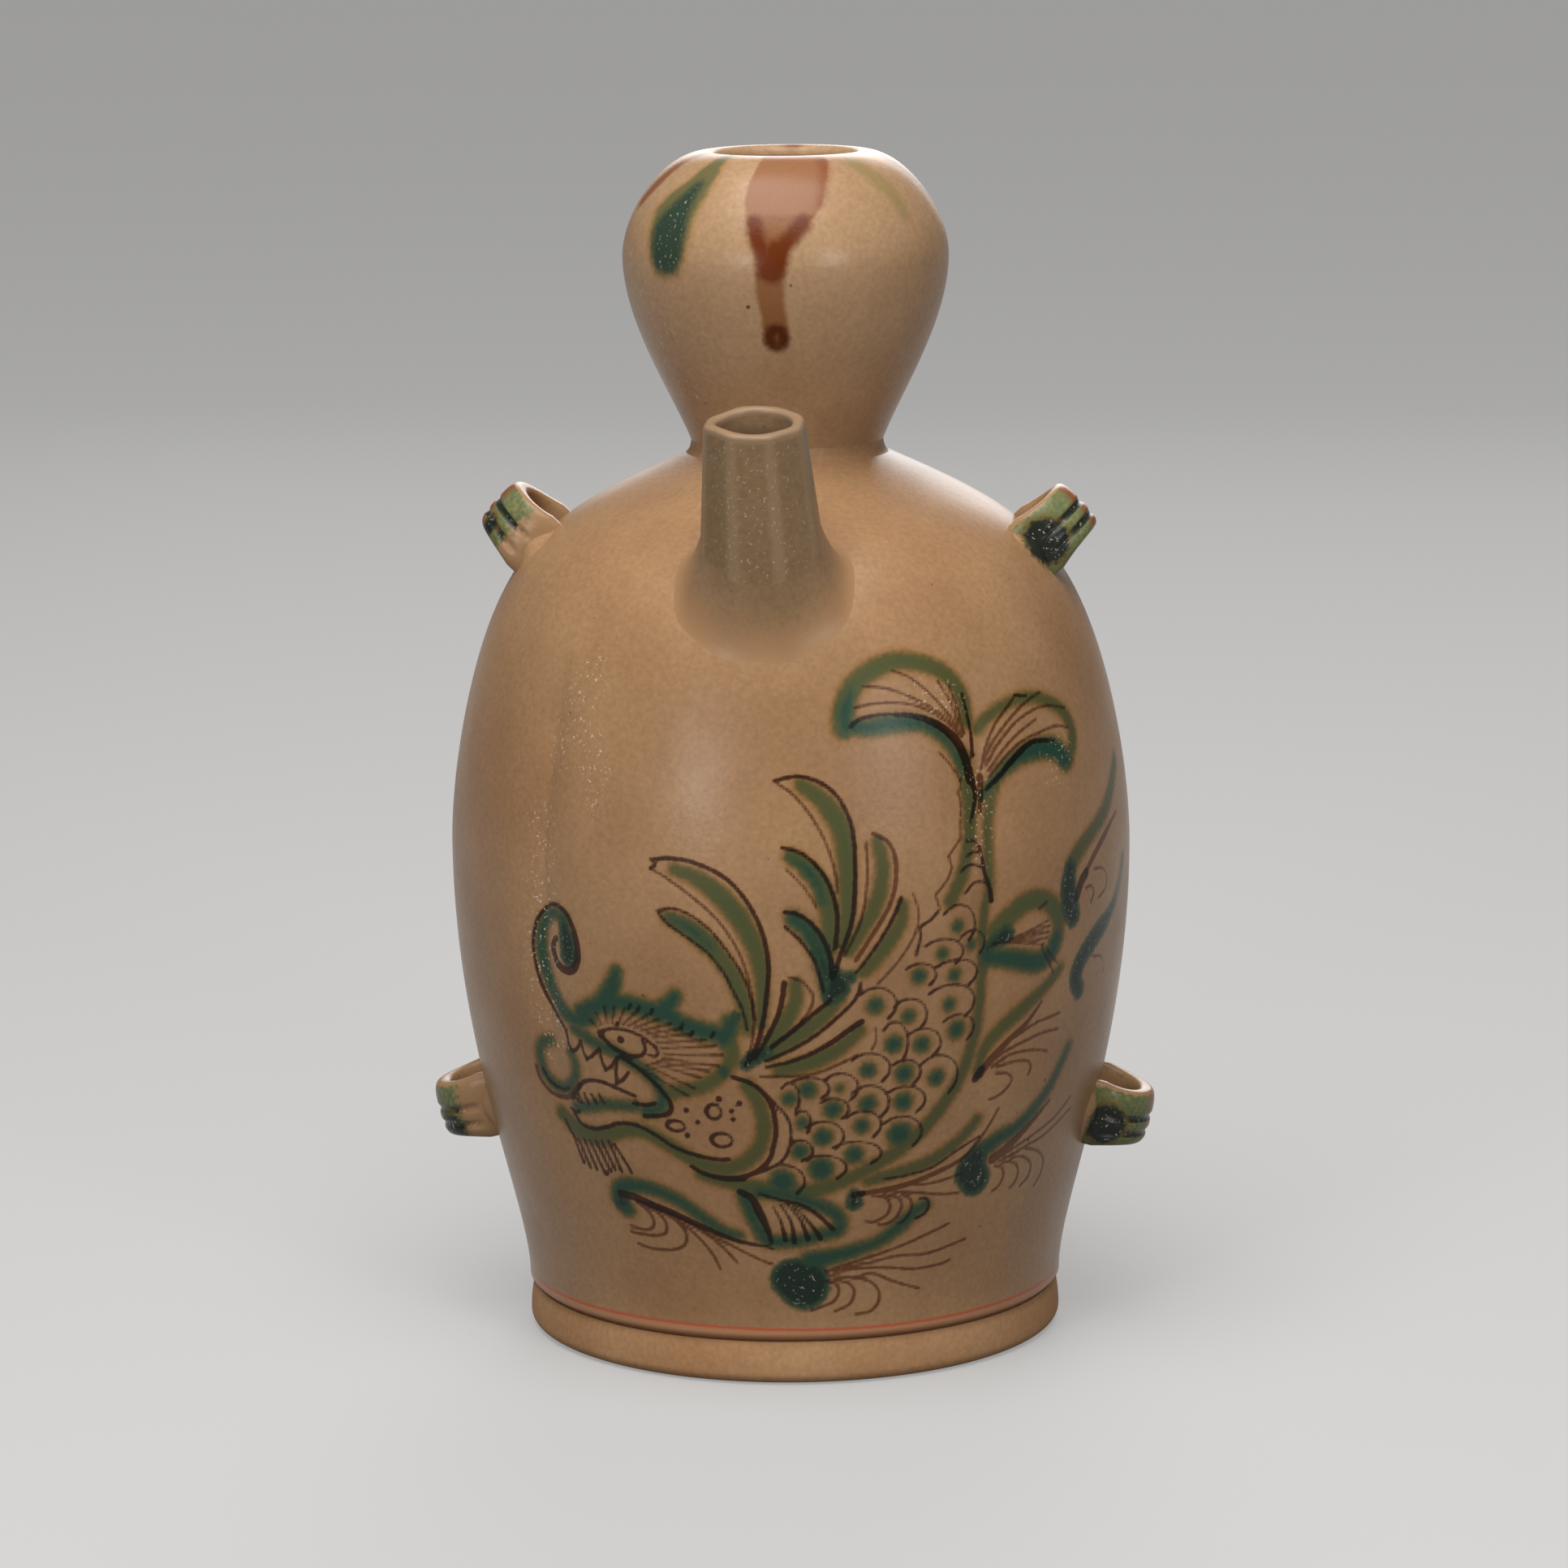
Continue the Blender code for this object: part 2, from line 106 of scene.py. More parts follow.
CREASE_HIGH = (1.9, 0.3)  # out from the seat's edge, and down from the skirt
THROAT_CLEAR = 1.0  # how far outside the throat the lining and the grooves end
GLAZE_EDGE_Z = 10.9  # where the glaze stops above the foot
GLAZE_EDGE_WAVE = 0.25
GLAZE_EDGE_SEED = 4

# Head
NECK_RADIUS = 17.2
THROAT_RADIUS = 12.7
BULB_Z = HEAD_Z + 35.3
HEAD_WALL = 3.4
NECK_WALL = 4.5
MOUTH_RADIUS = 12.8
BULB_SHAPE = ((0.247, 0.243), (0.717, 0.492), (1.0, 0.771))
LIP_SHAPE = ((0.0, 0.41), (0.5, 1.0))

# Spout
SPOUT_DROP = 18.4  # centre of its root on the wall, below the neck joint
SPOUT_LEAN = math.radians(10.8)
SPOUT_LENGTH = 30.2
SPOUT_TIP_WIDTH = 17.5  # across flats
SPOUT_ROOT_WIDTH = 22.9
SPOUT_BORE = 6.7
SPOUT_RIM_ROUND = 0.8
SPOUT_CROOK = -0.8  # of its tip, as the hand left it
SPOUT_UNEVEN = 0.5
SPOUT_SEED = 7
SPOUT_FLATS = 8
SPOUT_TIP_CORNERS = 18  # the higher, the sharper
SPOUT_ROOT_CORNERS = 16
SPOUT_OVERRUN = 1.0  # of its bore into the wall
SPOUT_RIM_START = 170  # degrees round the rim, just past the last row of the outside
SPOUT_BORE_START = 0.06  # share of the bore's length, just past the rim
SPOUT_WEAR = 0.5  # share of scuffing in front
POUR_HOLE = 6.2  # radius of the hole through the body's wall, round the spout's axis

# Collar round the spout's root: where its section's handles lie up the tube, as shares of its rise, and
# how far out from the tube and on the wall, above and below the spout and then how much more beside it
COLLAR_RISE = 4.6
COLLAR_HEIGHTS = (2.2, 1.3, 0.7)
COLLAR_OUT = ((-0.1, 0.0), (0.1, 0.0), (0.6, 1.6))
COLLAR_ON_WALL = ((0.6, 1.2), (4.4, 0.6))
COLLAR_SIDES = 1.5  # how closely the swell keeps to the sides
COLLAR_SWELL = 0.5  # off the wall, at the sides
COLLAR_SINK = 0.1  # of its edge into the wall
COLLAR_UNDER = 0.2  # out from the tube, and into the wall

# Lugs
UPPER_LUG_Z = NECK_Z - 17.2
LOWER_LUG_Z = BASE_Z + 33.5
LUG_SPAN = 19.0
LUG_REACH = 10.5
LUG_WIDTH = 9.2
LUG_THICKNESS = 3.3
LUG_LEG = 1.0
LUG_GLAZE = 0.6  # thickness of the glaze that ran over a strap
LUG_GROOVES = (0.04, -0.52)  # their middles, as shares of the half width up from the middle
LUG_GROOVE_HALF = 0.21
LUG_GROOVE_FADE = 0.2  # share of its height over which the grooves run out
LUG_RIB_DEPTH = 0.4
LUG_SQUARENESS = 0.62  # of its section, where 1 is an ellipse and less is squarer
LUG_FOOT_SPREAD = 0.2  # share by which it widens on the wall
LUG_FOOT_FADE = 0.35  # share of its height over which its plain feet turn green
LUG_SINK = 0.3  # of its ends into the wall
LUG_EDGE = 0.82  # where its plain upper edge starts, as a share of the half width
LUG_EDGE_FADE = 0.12
LUG_POOL_GLINTS = 0.7  # shares of pale flecks: painted glints on the dark glaze, with some scuffs
LUG_GROOVE_GLINTS = 0.5

# Pads beside the lugs' legs
PAD_OFFSET = 0.6  # of its middle, beyond the leg's outer face
PAD_REACH = 3.4
PAD_HALF_WIDTH = 0.6 * LUG_WIDTH
PAD_HEIGHT = 1.7
PAD_SINK = 0.1  # of its edge into the wall
PAD_DEPTH = 0.4  # of its underside in the wall

# Seams
SEAM_SINK = 0.05
NECK_SEAM_OUT = 2.2
NECK_SEAM_UP = 1.6
NECK_SEAM_DEPTH = 0.6  # inside the neck's outside
NECK_SEAM_SHAPE = ((0.7, 0.12), (1.0, 0.5))
FOOT_SEAM_SIZE = 2.3
FOOT_SEAM_DEPTH = 0.2
FOOT_SEAM_SHAPE = ((0.25, 0.6),)

# Painting
PAINT_ROUND = 60.0  # millimetres to a radian in the places of the body's strokes
PAINT_LEFT, PAINT_RIGHT, PAINT_TOP = -49.0, 70.0, 134.5  # where the body's mesh is fine
PAINT_SIDE_END = 92.0  # where the plain back begins
HEAD_ROUND = 30.0  # millimetres to a radian on the head
HEAD_PAINT_LEFT, HEAD_PAINT_RIGHT = -40.0, 54.0
LIP_PAINTED_ROWS = 4  # of the lip's round, from the outside
PAINT_REACH = 3.0  # how far beyond its edge a stroke is still felt
THINNEST_LINE = 0.45
BRUSH_STEP = 0.3  # between the points at which a stroke is measured
SOFT_CORE = 0.25  # rounds the ridge of a stroke so that a coarse mesh can carry it
PATH_STEPS = 12  # between two points of a stroke, before they are paced
RING_POINTS = 9
SCALE_ARCH = (140, -50, 7)  # degrees where a scale's arch starts and ends, and its points
SCALE_LINE = (0.6, 0.45, 0.7)
RAY_LINE = (0.4, 0.4, 0.7)
# Pale flecks: scuffs in the glaze, and painted glints where it is thick and glossy
SCUFF_GLINT_REACH = 2.5  # beyond the strokes of scuffs and painted glints
SCUFF_GLINT_FADE = 3.5
THICK_GLINT_SHARE = 0.5  # share of pale flecks in thick glaze: painted glints, with some scuffs
THICK_FADE = 1.2

# Meshes: steps in millimetres, and counts
BODY_OUTLINE_STEPS, HEAD_OUTLINE_STEPS = 400, 300  # in each half
BODY_STEP, BODY_SIDE_STEP = 0.52, 0.9
BODY_BACK_COLUMNS = 70
BODY_SHOULDER_ROWS, BODY_LINING_ROWS = 25, 16
HOLE_MARGIN = 5.0  # round the pour hole, where the rows of both walls match
HOLE_ROW_GAP = 2.0  # at least, from those rows to the lining's other ones
FOOT_COLUMNS, FOOT_UPPER_STEPS, FOOT_LOWER_STEPS = 300, 16, 12
HEAD_STEP = 0.5
HEAD_BACK_COLUMNS = 50
HEAD_ROWS, HEAD_LINING_ROWS, LIP_STEPS = 165, 24, 12
SPOUT_COLUMNS, SPOUT_ROWS, SPOUT_RIM_STEPS, SPOUT_BORE_ROWS = 120, 40, 5, 14
COLLAR_ROWS = 24
LUG_ROWS, LUG_COLUMNS = 61, 110
LUG_SECTION_STEPS = 2000  # round its section, before they are evenly spaced
PAD_ROWS, PAD_COLUMNS = 16, 48
SEAM_COLUMNS, NECK_SEAM_STEPS, FOOT_SEAM_STEPS = 160, 8, 6
POLE_SIZE = 1e-9  # a row no wider than this is one point
SHARP_EDGE = math.radians(50)
WALL_SEARCH = 25.0  # how far along its line a point may lie from the wall
WALL_HALVINGS = 40
WOBBLE_TURNS = np.arange(2, 6)  # waves round the axis
WOBBLE_STRENGTHS = (0.3, 1.0)

# Patterns in the fired surfaces: sizes in millimetres, details, and the noise values between which they
# turn from one shade to the other
CLOUD_SIZE = 24.0
CLOUD_DETAIL = 4.0
CLOUD_LOW, CLOUD_HIGH = 0.35, 0.65
NOISE_LOW, NOISE_HIGH = 0.3, 0.7  # most of a noise lies between these
GRIT_SIZE = 1.0
GRIT_DETAIL = 3.0
GRIT_DARK, GRIT_LIGHT = 0.88, 1.08
SPECK_SPACING = 4.2
SPECK_GROWTH, SPECK_START = 0.3, -0.19  # a speck's size from its cell's chance, and most have none
SPECK_OUTSIDE, SPECK_INSIDE = -0.015, 0.035
SPECK_STRENGTH = 0.8
SPECK_COLOUR = "3A2A1C"
RAGGED_SIZE = 0.9
RAGGED_DETAIL = 2.0
RAGGED_MIDDLE = 0.5
SATIN_SHEEN = 0.2
SHEEN_CHANGE = 0.05  # of the roughness, between the clouds
# Pale flecks, which are scuffs in the glaze and painted glints where it is thick: their size, width, breaks
# and colour
SCUFF_GLINT_SIZE = 1.3  # finer on the real glaze, and drawn coarse enough to show
SCUFF_GLINT_WIDTH = 0.14  # share of a cell
SCUFF_GLINT_DETAIL = 1.0
SCUFF_GLINT_LOW, SCUFF_GLINT_HIGH = 0.6, 0.7
SCUFF_GLINT_COLOUR = "D9CCB6"
SKIN_SIZE = 0.8  # finer on the real glaze too
SKIN_DETAIL = 4.0
SKIN_STRENGTH = 0.16
SKIN_DEPTH = 0.25
GLAZE_LIGHT, GLAZE_DARK = "A27D59", "96714F"

# Studio
FLOOR_REACH = 12.0  # in metres, like the lamps' places and widths
FLOOR_ROUGHNESS = 0.9
FLOOR_DIM, FLOOR_PALE = "4A4A4A", "8C8B8A"
FLOOR_GLOW, FLOOR_GLOW_COLOUR = 0.38, "E4E3E1"
ROOM_LIGHT, ROOM_COLOUR = 0.15, "E8E8EA"
LAMP_TARGET = (0, 0, 0.1)
# Lamps: name, place, width, power in watts, and spread of the beam in degrees
LAMPS = (
    ("key_lamp", (-0.06, -0.50, 1.45), 1.2, 27.0, 180),
    ("left_lamp", (-0.54, -1.16, 0.36), 0.24, 3.8, 180),
    ("right_lamp", (0.79, -0.99, 0.42), 0.24, 3.6, 180),
    ("back_lamp", (0.0, 1.5, 0.64), 1.0, 1.1, 50),
)


def bezier(start, shape, end, steps):
    """Points on a Bezier curve whose inner handles are shares of its two spans."""
    start = np.array(start)
    span = np.array(end) - start
    handles = [start, *(start + span * np.array(share) for share in shape), start + span]
    degree = len(handles) - 1
    t = np.linspace(0.0, 1.0, steps + 1)[:, None]
    return sum(
        math.comb(degree, i) * t**i * (1 - t) ** (degree - i) * handle
        for i, handle in enumerate(handles)
    )


def arc(centre, radii, start, end, steps):
    """Points on an elliptical arc, with its angles in degrees."""
    angle = np.radians(np.linspace(start, end, steps + 1))
    return np.stack([centre[0] + radii[0] * np.cos(angle), centre[1] + radii[1] * np.sin(angle)], 1)


def outward(outline):
    """Unit normals of an outline that climbs with its solid on the axis side."""
    along = np.gradient(outline, axis=0)
    normal = np.stack([along[:, 1], -along[:, 0]], 1)
    return normal / np.linalg.norm(normal, axis=1, keepdims=True)


def paced(outline, paces):
    """An outline taken again at given distances along it."""
    travelled = np.append(0.0, np.cumsum(np.linalg.norm(np.diff(outline, axis=0), axis=1)))
    return np.stack([np.interp(paces, travelled, outline[:, i]) for i in (0, 1)], 1)


def length_to(outline, z):
    """Distance along an outline up to a height."""
    below = outline[outline[:, 1] <= z]
    return float(np.linalg.norm(np.diff(below, axis=0), axis=1).sum())


BELLY_POINT = (BELLY_RADIUS, BELLY_Z)
BODY_OUTLINE = np.vstack(
    [
        bezier((SKIRT_RADIUS, SKIRT_Z), LOWER_WALL_SHAPE, BELLY_POINT, BODY_OUTLINE_STEPS),
        bezier(BELLY_POINT, SHOULDER_SHAPE, (NECK_RADIUS, NECK_Z), BODY_OUTLINE_STEPS)[1:],
    ]
)
BULB_POINT = (BULB_RADIUS, BULB_Z)
LIP_POINT = (MOUTH_RADIUS + HEAD_WALL / 2, TOP_Z)
HEAD_OUTLINE = np.vstack(
    [
        bezier((NECK_RADIUS, HEAD_Z), BULB_SHAPE, BULB_POINT, HEAD_OUTLINE_STEPS),
        bezier(BULB_POINT, LIP_SHAPE, LIP_POINT, HEAD_OUTLINE_STEPS)[1:],
    ]
)


def wall_radius(z):
    """The outside radius of the body at a height, read off its outline."""
    return np.interp(z, BODY_OUTLINE[:, 1], BODY_OUTLINE[:, 0])


def wall_normal(z):
    """The wall's outward normal at a height, as its radial and upright parts."""
    normal = outward(BODY_OUTLINE)
    return np.array([np.interp(z, BODY_OUTLINE[:, 1], normal[:, i]) for i in (0, 1)])


def lobe_depth(angle, z):
    """Depth of the pressed grooves: a crease across each of four angles that fades at both ends."""
    away = np.abs(np.abs(np.abs(angle) - math.pi / 2) - (math.pi / 2 - LOBE_ANGLE))
    across = np.clip(1 - away / LOBE_HALF_ANGLE, 0, 1) ** LOBE_SHARPNESS
    ends = np.minimum((LOBE_TOP - z) / LOBE_UPPER_FADE, (z - LOBE_BOTTOM) / LOBE_LOWER_FADE)
    return LOBE_DEPTH * across * np.clip(ends, 0, 1)


def around(radius, angle, z):
    """Points at a radius, an angle from the spout and a height."""
    radius, angle, z = np.broadcast_arrays(radius, angle, z)
    return np.stack([radius * np.sin(angle), -radius * np.cos(angle), z], -1)


def turned(outline, angles):
    """A grid that carries an outline of radius and height round the axis."""
    return around(outline[:, :1], angles[None, :], outline[:, 1:])


def drop(points, direction, gap=0.0):
    """Slides points along a direction until they lie a gap outside the wall, by halving the stretch of
    line that holds the wall."""
    near = np.full(points.shape[:-1], -WALL_SEARCH)
    far = -near
    for _ in range(WALL_HALVINGS):
        middle = (near + far) / 2
        spot = points + middle[..., None] * direction
        outside = np.hypot(spot[..., 0], spot[..., 1]) - wall_radius(spot[..., 2]) > gap
        near = np.where(outside, middle, near)
        far = np.where(outside, far, middle)
    return points + near[..., None] * direction


def surface(name, grid, material, nodes, loop=False, fields=None, opening=None):
    """A closed mesh over a grid of points. Each row closes into a ring, the last row meets the first
    where loop is set, and a row that is one point becomes a pole. Fields are values at the points. An
    opening is the cells that a hole leaves out, and the faces that line it."""
    rows, columns, _ = grid.shape
    index = np.arange(rows * columns).reshape(rows, columns)
    poles = np.ptp(grid, axis=1).max(axis=1) < POLE_SIZE
    index[poles] = index[poles, :1]
    low, high = (index, np.roll(index, -1, 0)) if loop else (index[:-1], index[1:])
    quads = np.stack([low, np.roll(low, -1, 1), np.roll(high, -1, 1), high], -1)
    quads = quads.reshape(-1, 4) if opening is None else np.vstack([quads[~opening[0]], opening[1]])
    points = grid.reshape(-1, 3)
    a, b, c, d = (points[quads[:, i]] for i in range(4))
    volume = (np.cross(a - c, b - d) * (a + b + c + d)).sum()
    if volume < 0:
        quads = quads[:, ::-1]
    used, quads = np.unique(quads, return_inverse=True)
    quads = quads.reshape(-1, 4)
    starts = quads[:, 0] == quads[:, 1]
    ends = quads[:, 2] == quads[:, 3]
    faces = quads[~(starts | ends)].tolist()
    faces += quads[starts & ~ends][:, 1:].tolist() + quads[ends & ~starts][:, :3].tolist()

    mesh = bpy.data.meshes.new(name)
    mesh.from_pydata(points[used] * MM, [], faces)
    for field, values in (fields or {}).items():
        attribute = mesh.attributes.new(field, "FLOAT", "POINT")
        attribute.data.foreach_set("value", values.reshape(-1)[used].astype(np.float32))
    mesh.shade_smooth()
    mesh.set_sharp_from_angle(angle=SHARP_EDGE)
    mesh.materials.append(material)
    piece = bpy.data.objects.new(name, mesh)
    bpy.context.scene.collection.objects.link(piece)
    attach(piece, "root")
    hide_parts(*nodes)
    return piece


def wobble(angle, size, seed):
    """A slow uneven wave round the axis, as a hand leaves it: four sines with a size and a seed."""
    waves = np.random.default_rng(seed).uniform(*WOBBLE_STRENGTHS, (len(WOBBLE_TURNS), 2))
    return size * sum(
        strength / turn * np.sin(turn * angle + 2 * math.pi * phase)
        for turn, (strength, phase) in zip(WOBBLE_TURNS, waves)
    )


def colour(code):
    """Linear light values of an sRGB hex colour, by the standard's own curve."""
    channels = np.array([int(code[i : i + 2], 16) / 255 for i in (0, 2, 4)])
    light = np.where(channels <= 0.04045, channels / 12.92, ((channels + 0.055) / 1.055) ** 2.4)
    return (*light.tolist(), 1.0)


def scale(size):
    """How often a pattern of a size in millimetres repeats in a metre."""
    return 1 / (size * MM)


def add(tree, kind, inputs, output=None, **settings):
    """Adds a node with its settings. Inputs give each socket a value or the socket that feeds it. The
    result is the named output, or else the first one in use."""
    node = tree.nodes.new("ShaderNode" + kind)
    for key, value in settings.items():
        setattr(node, key, value)
    for key, value in inputs.items():
        socket = next(s for s in node.inputs if s.enabled and key in (s.name, s.identifier))
        if isinstance(value, bpy.types.NodeSocket):
            tree.links.new(value, socket)
        else:
            socket.default_value = value
    return node.outputs[output] if output else next(s for s in node.outputs if s.enabled)


def fired_surface(name, light, dark, roughness, layers=(), specks=SPECK_COLOUR):
    """A fired clay surface: two shades in soft clouds with a fine grit, iron specks, painted layers,
    pale flecks where the field worn says so, which are scuffs and painted glints on thick
    glaze, and a fine uneven skin. A layer is a field, the values where it starts and is full, its
    colour, its strength, how ragged its edge is and how it blends."""
    material = bpy.data.materials.get(name)
    if material:
        return material
    material = bpy.data.materials.new(name)
    material.use_nodes = True
    tree = material.node_tree
    shader = tree.nodes["Principled BSDF"]
    shader.inputs["Specular IOR Level"].default_value = SATIN_SHEEN
    spot = add(tree, "TexCoord", {}, "Object")
    clouds = add(
        tree, "TexNoise", {"Vector": spot, "Scale": scale(CLOUD_SIZE), "Detail": CLOUD_DETAIL}
    )
    blotch = add(tree, "MapRange", {"Value": clouds, "From Min": CLOUD_LOW, "From Max": CLOUD_HIGH})
    shade = add(
        tree, "Mix", {"Factor": blotch, "A": colour(dark), "B": colour(light)}, data_type="RGBA"
    )
    grit = add(
        tree, "TexNoise", {"Vector": spot, "Scale": scale(GRIT_SIZE), "Detail": GRIT_DETAIL}
    )
    tone = add(
        tree,
        "MapRange",
        {
            "Value": grit,
            "From Min": NOISE_LOW,
            "From Max": NOISE_HIGH,
            "To Min": GRIT_DARK,
            "To Max": GRIT_LIGHT,
        },
    )
    shade = add(
        tree, "Mix", {"Factor": 1.0, "A": shade, "B": tone}, data_type="RGBA", blend_type="MULTIPLY"
    )
    cells = add(tree, "TexVoronoi", {"Vector": spot, "Scale": scale(SPECK_SPACING)})
    chance = cells.node.outputs["Color"]
    size = add(
        tree,
        "Math",
        {"Value": chance, "Value_001": SPECK_GROWTH, "Value_002": SPECK_START},
        operation="MULTIPLY_ADD",
    )
    inside = add(tree, "Math", {"Value": size, "Value_001": cells}, operation="SUBTRACT")
    speck = add(
        tree,
        "MapRange",
        {
            "Value": inside,
            "From Min": SPECK_OUTSIDE,
            "From Max": SPECK_INSIDE,
            "To Max": SPECK_STRENGTH,
        },
    )
    shade = add(tree, "Mix", {"Factor": speck, "A": shade, "B": colour(specks)}, data_type="RGBA")

    edge = add(
        tree, "TexNoise", {"Vector": spot, "Scale": scale(RAGGED_SIZE), "Detail": RAGGED_DETAIL}
    )
    loose = add(tree, "Math", {"Value": edge, "Value_001": RAGGED_MIDDLE}, operation="SUBTRACT")
    for field, start, full, paint, strength, ragged, blend in layers:
        reach = add(tree, "Attribute", {}, "Fac", attribute_name=field)
        uneven = add(
            tree,
            "Math",
            {"Value": loose, "Value_001": ragged, "Value_002": reach},
            operation="MULTIPLY_ADD",
        )
        amount = add(
            tree,
            "MapRange",
            {"Value": uneven, "From Min": start, "From Max": full, "To Max": strength},
            interpolation_type="SMOOTHSTEP",
        )
        shade = add(
            tree,
            "Mix",
            {"Factor": amount, "A": shade, "B": colour(paint)},
            data_type="RGBA",
            blend_type=blend,
        )

    # Pale flecks where the field says so: scuffs, and painted glints where the glaze is thick
    curls = add(
        tree, "TexVoronoi", {"Vector": spot, "Scale": scale(SCUFF_GLINT_SIZE)}, feature="DISTANCE_TO_EDGE"
    )
    thin = add(
        tree, "MapRange", {"Value": curls, "From Max": SCUFF_GLINT_WIDTH, "To Min": 1.0, "To Max": 0.0}
    )
    breaks = add(
        tree, "TexNoise", {"Vector": spot, "Scale": scale(SCUFF_GLINT_SIZE / 2), "Detail": SCUFF_GLINT_DETAIL}
    )
    short = add(tree, "MapRange", {"Value": breaks, "From Min": SCUFF_GLINT_LOW, "From Max": SCUFF_GLINT_HIGH})
    worn = add(tree, "Attribute", {}, "Fac", attribute_name="worn")
    scuff_glint = add(tree, "Math", {"Value": thin, "Value_001": short}, operation="MULTIPLY")
    scuff_glint = add(tree, "Math", {"Value": scuff_glint, "Value_001": worn}, operation="MULTIPLY")
    shade = add(
        tree, "Mix", {"Factor": scuff_glint, "A": shade, "B": colour(SCUFF_GLINT_COLOUR)}, data_type="RGBA"
    )

    tree.links.new(shade, shader.inputs["Base Color"])
    gloss = add(
        tree,
        "MapRange",
        {
            "Value": clouds,
            "From Min": NOISE_LOW,
            "From Max": NOISE_HIGH,
            "To Min": roughness + SHEEN_CHANGE,
            "To Max": roughness - SHEEN_CHANGE,
        },
    )
    tree.links.new(gloss, shader.inputs["Roughness"])
    skin = add(
        tree, "TexNoise", {"Vector": spot, "Scale": scale(SKIN_SIZE), "Detail": SKIN_DETAIL}
    )
    bump = add(
        tree, "Bump", {"Height": skin, "Strength": SKIN_STRENGTH, "Distance": SKIN_DEPTH * MM}
    )
    tree.links.new(bump, shader.inputs["Normal"])
    return material


def brush_path(route):
    """A smooth path through a stroke's points, taken every brush step: a Catmull-Rom curve."""
    route = np.array(route, float)
    if len(route) == 1:
        return route
    padded = np.vstack([2 * route[0] - route[1], route, 2 * route[-1] - route[-2]])
    before, start, end, after = (padded[i : len(padded) - 3 + i, None] for i in range(4))
    t = np.linspace(0, 1, PATH_STEPS, endpoint=False)[None, :, None]
    curve = 0.5 * (
        2 * start
        + (end - before) * t
        + (2 * before - 5 * start + 4 * end - after) * t**2
        + (3 * start - before - 3 * end + after) * t**3
    )
    curve = np.vstack([curve.reshape(-1, 2), route[-1:]])
    length = np.linalg.norm(np.diff(curve, axis=0), axis=1).sum()
    return paced(curve, np.linspace(0, length, max(2, int(length / BRUSH_STEP) + 1)))


def painted(points, strokes, place):
    """How far each point lies inside the strokes of each kind: the brush's half width less the distance,
    and the whole reach outside where no stroke is near. Place turns a stroke's coordinates into points."""
    flat = points.reshape(-1, 3)
    fields = {}
    for kind, widths, *route in strokes:
        path = brush_path(route)
        progress = np.linspace(0, 1, len(path))
        half = np.interp(progress, np.linspace(0, 1, len(widths)), widths) / 2
        half = np.maximum(half, THINNEST_LINE / 2)
        spots = place(path[:, 0], path[:, 1])
        margin = PAINT_REACH + half.max()
        close = ((flat > spots.min(0) - margin) & (flat < spots.max(0) + margin)).all(axis=1)
        near = np.flatnonzero(close)
        gaps = np.linalg.norm(flat[near, None, :] - spots[None, :, :], axis=2)
        inside = np.hypot(half, SOFT_CORE) - np.hypot(gaps, SOFT_CORE)
        field = fields.setdefault(kind, np.full(len(flat), -PAINT_REACH))
        field[near] = np.maximum(field[near], inside.max(axis=1))
    return {kind: field.reshape(points.shape[:-1]) for kind, field in fields.items()}


def scuff_glint_shares(fields, worn, *thick):
    """Shares of pale flecks, scuffs and painted glints: all of them inside the strokes of that kind,
    fading out beyond them, and a part of them in thick glaze, where they are painted glints with some
    scuffs."""
    shares = [np.clip((fields[worn] + SCUFF_GLINT_REACH) / SCUFF_GLINT_FADE, 0, 1)]
    shares += [THICK_GLINT_SHARE * np.clip(fields[field] / THICK_FADE, 0, 1) for field in thick]
    return np.max(shares, axis=0)


def on_body(across, z):
    """Points on the body at places of its strokes: on the wall, in its grooves."""
    angle = np.asarray(across) / PAINT_ROUND
    return around(wall_radius(z) - lobe_depth(angle, z), angle, z)


def on_head(across, z):
    """Points on the head at places of its strokes."""
    radius = np.interp(z, HEAD_OUTLINE[:, 1], HEAD_OUTLINE[:, 0])
    return around(radius, np.asarray(across) / HEAD_ROUND, z)


def between(across, z, left, right):
    """How far places lie inside two edges, each given by points down the wall."""
    edges = [np.interp(-z, -edge[:, 1], edge[:, 0]) for edge in (np.array(left), np.array(right))]
    bottom = min(left[-1][1], right[-1][1])
    return np.minimum(np.minimum(across - edges[0], edges[1] - across), z - bottom)


def cornered(*route):
    """Points given twice, so that a smooth path through them keeps its corners."""
    return [point for point in route for _ in (0, 1)]


def ring(across, z, reach, rise):
    """Points once round an ellipse."""
    turn = np.linspace(0, 2 * math.pi, RING_POINTS)
    return list(zip(across + reach * np.cos(turn), z + rise * np.sin(turn)))


def scale_marks(across, z, reach, rise, dot):
    """A scale of the fish: an arch over a dot, from its upper left to its lower right."""
    sweep = np.radians(np.linspace(*SCALE_ARCH))
    arch = zip(across + reach * np.cos(sweep), z + rise * np.sin(sweep))
    return [("line", SCALE_LINE, *arch), ("teal", (2 * dot,), (across, z))]


def fan(count, starts, ends):
    """Fine strokes from one curve to another, spread evenly along both, heavier at their ends."""
    share = np.linspace(0, 1, count)
    edges = [brush_path(curve) for curve in (starts, ends)]
    heads, tips = (edge[np.round(share * (len(edge) - 1)).astype(int)] for edge in edges)
    return [("fine", RAY_LINE, head, tip) for head, tip in zip(heads, tips)]


